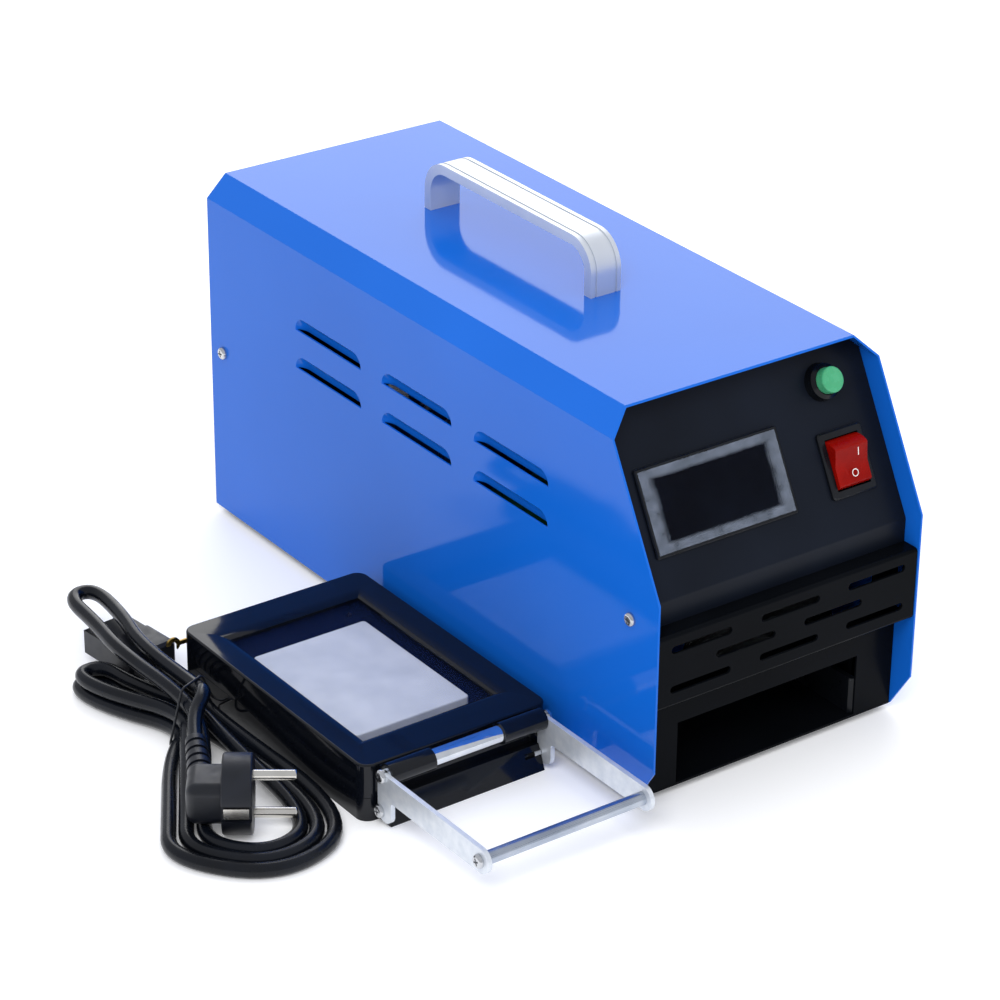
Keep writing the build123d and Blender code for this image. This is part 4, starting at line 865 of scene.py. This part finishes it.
def light_the_studio():
    """White where the camera or glass looks past the floor, a soft sky for everything else, and
    round lamps."""
    world = bpy.data.worlds.new("studio")
    world.use_nodes = True
    tree = world.node_tree
    white = add(tree, "ShaderNodeBackground", Color=srgb("#FFFFFF"), Strength=1.0)
    soft = add(tree, "ShaderNodeBackground", Color=srgb("#F4F7FF"), Strength=sky_level)
    rays = add(tree, "ShaderNodeLightPath")
    sight = add(
        tree,
        "ShaderNodeMath",
        {"operation": "MAXIMUM"},
        _0=rays.outputs["Is Camera Ray"],
        _1=rays.outputs["Is Transmission Ray"],
    )
    mix = add(tree, "ShaderNodeMixShader", Fac=sight.outputs[0], _1=soft.outputs[0], _2=white.outputs[0])
    feed(tree, tree.nodes["World Output"], Surface=mix.outputs[0])
    bpy.context.scene.world = world
    for name, lamp in lamps.items():
        light = bpy.data.lights.new(name, "AREA")
        light.shape = "DISK"
        light.size = lamp["size"]
        light.energy = lamp["power"]
        stand = bpy.data.objects.new(name, light)
        stand.location = lamp["place"]
        beam = Vector(lamp["aim"]) - Vector(lamp["place"])
        stand.rotation_euler = beam.to_track_quat("-Z", "Y").to_euler()
        stand.visible_glossy = lamp["mirrored"]
        bpy.context.collection.objects.link(stand)


def lay_the_floor():
    """A wide sheet of white paper under the object."""
    bpy.ops.object.select_all(action="DESELECT")
    bpy.ops.mesh.primitive_plane_add(size=floor_width, location=(0, 0, 0))
    floor = bpy.context.object
    floor.name = "floor"
    dress(floor, white_paper_roll())


light_the_studio()
lay_the_floor()


# Mains lead: one cord tied in a hank, from the connector to the plug; lengths in millimetres

cord_diameter = 7.0
cord_gap = 0.7
cord_floor_gap = 0.2
cord_step = cord_diameter + cord_gap
cord_floor = cord_diameter / 2 + cord_floor_gap
hank_loops = 3

# The waist, where the tie holds the strands, and how far across it each one passes
waist = Vector((-201.2, -4.6))
waist_turn = math.radians(21.2)
waist_lift = 1.8
strand_outer = 11.8
strand_down = 3.8
strand_up = -3.9
strand_last = 4.5

# The loops on the floor, and the shoulders where they rise towards the waist
loop_centre = Vector((-221.5, -88.0))
loop_radius = 37.0
loop_corners = 3
shoulders = [Vector((-224.5, -22.0, 3.9)), Vector((-217.6, -26.0, 9.9)), Vector((-209.5, -27.3, 15.6))]
last_loop_start = Vector((-200.9, -32.0, 11.6))
floor_share = 0.4
knee_rise = 0.2

# The bights beyond the waist: two short ones beside the connector, and a long one that rests on it
near_left = (-224.4, -227.6)
near_right = (-210.2, -212.8)
near_knee = (34.0, 4.2)
near_end = 60.5
near_end_step = 3.5
far_height = 23.9
far_plan = [(-210.5, 44.0), (-206.2, 74.0), (-204.6, 104.0), (-189.8, 104.0), (-192.2, 74.0), (-199.5, 44.0)]

# The two ends
connector_tip = Vector((-189.6, 20.4, 10.0))
connector_axis = Vector((-0.12, 0.993, 0))
lead_run = 10.0
plug_face = Vector((-221.0, -87.5, 18.3))
plug_turn = math.radians(-34.8)
plug_run = 18.0
plug_approach = Vector((-201.1, -15.3, 28.1))


def at_waist(across, layer, lift=0.0):
    """A point of the cord at the tie: how far across the waist, and in which layer."""
    side = Vector((math.cos(waist_turn), math.sin(waist_turn))) * across
    height = cord_floor + waist_lift + lift + layer * cord_step
    return Vector((waist.x + side.x, waist.y + side.y, height))


def round_loop(start, end, radius):
    """Corners of the loop that a strand makes on the floor, clockwise from start round to end."""
    angles = []
    for point, way in ((start, -1), (end, 1)):
        reach = point.xy - loop_centre
        angles.append(math.atan2(reach.y, reach.x) + way * math.acos(radius / reach.length))
    turn = (angles[0] - angles[1] + 2 * math.pi) / loop_corners
    corner_radius = radius / math.cos(turn / 2)
    corners = []
    for corner in range(loop_corners):
        angle = angles[0] - turn * (corner + 0.5)
        x = loop_centre.x + corner_radius * math.cos(angle)
        y = loop_centre.y + corner_radius * math.sin(angle)
        corners.append(Vector((x, y, cord_floor)))
    return corners


def from_plug(x, y, z):
    """A place given along the plug's face, upwards and along its pins."""
    along_face = Vector((-math.sin(plug_turn), math.cos(plug_turn), 0))
    along_pins = Vector((math.cos(plug_turn), math.sin(plug_turn), 0))
    return plug_face + along_face * x + Vector((0, 0, y)) + along_pins * z


plug_relief_start = from_plug(9.0, 1.1, -23.2)
plug_relief_tip = from_plug(37.8, 3.7, -27.3)


def near_bight(layer):
    """One of the short bights beside the connector, which lie one on the other."""
    rise = layer * cord_step
    knee_y, knee_z = near_knee
    end_y = near_end - near_end_step * layer
    return [
        Vector((near_left[0], knee_y, knee_z + rise)),
        Vector((near_left[1], end_y, cord_floor + rise)),
        Vector((near_right[1], end_y, cord_floor + rise)),
        Vector((near_right[0], knee_y, knee_z + rise)),
    ]


def far_bight():
    """The long bight that rests on the connector."""
    return [Vector((x, y, far_height)) for x, y in far_plan]


def hank_route():
    """The control points of the cord's line, from the connector to the plug."""
    points = [connector_tip, connector_tip - connector_axis * lead_run]
    downs = [at_waist(strand_outer, 0), at_waist(strand_down, 0), at_waist(strand_down, 1)]
    top_layer = hank_loops - 1
    for loop in range(hank_loops):
        start = downs[loop]
        points.append(start)
        if loop == top_layer:
            start = last_loop_start
            points.append(start)
        corners = round_loop(start, shoulders[loop], loop_radius - loop * cord_step)
        points += corners
        knee = corners[-1].lerp(shoulders[loop], floor_share)
        points.append(Vector((knee.x, knee.y, cord_floor + knee_rise * (loop + 1))))
        points.append(shoulders[loop])
        points.append(at_waist(strand_up, loop))
        points += far_bight() if loop == top_layer else near_bight(loop)
    points.append(at_waist(strand_last, top_layer, waist_lift))
    points.append(plug_approach)
    points.append(plug_relief_tip + (plug_relief_tip - plug_relief_start).normalized() * plug_run)
    points.append(plug_relief_tip)
    return points


def smooth_line(name, points, radius):
    """A round cord on a smooth line through the pull of its control points."""
    curve = bpy.data.curves.new(name, "CURVE")
    curve.dimensions = "3D"
    curve.resolution_u = 10
    curve.bevel_depth = radius * MM
    curve.bevel_resolution = 5
    curve.use_fill_caps = True
    line = curve.splines.new("NURBS")
    line.points.add(len(points) - 1)
    for point, place in zip(line.points, points):
        point.co = (*(place * MM), 1)
    line.order_u = 3
    line.use_endpoint_u = True
    piece = bpy.data.objects.new(name, curve)
    bpy.context.collection.objects.link(piece)
    return piece


mains_cord = smooth_line("mains_cord", hank_route(), cord_diameter / 2)
dress(mains_cord, finishes["cord_pvc"])
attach(mains_cord, "housing")
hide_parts("cord_hank")
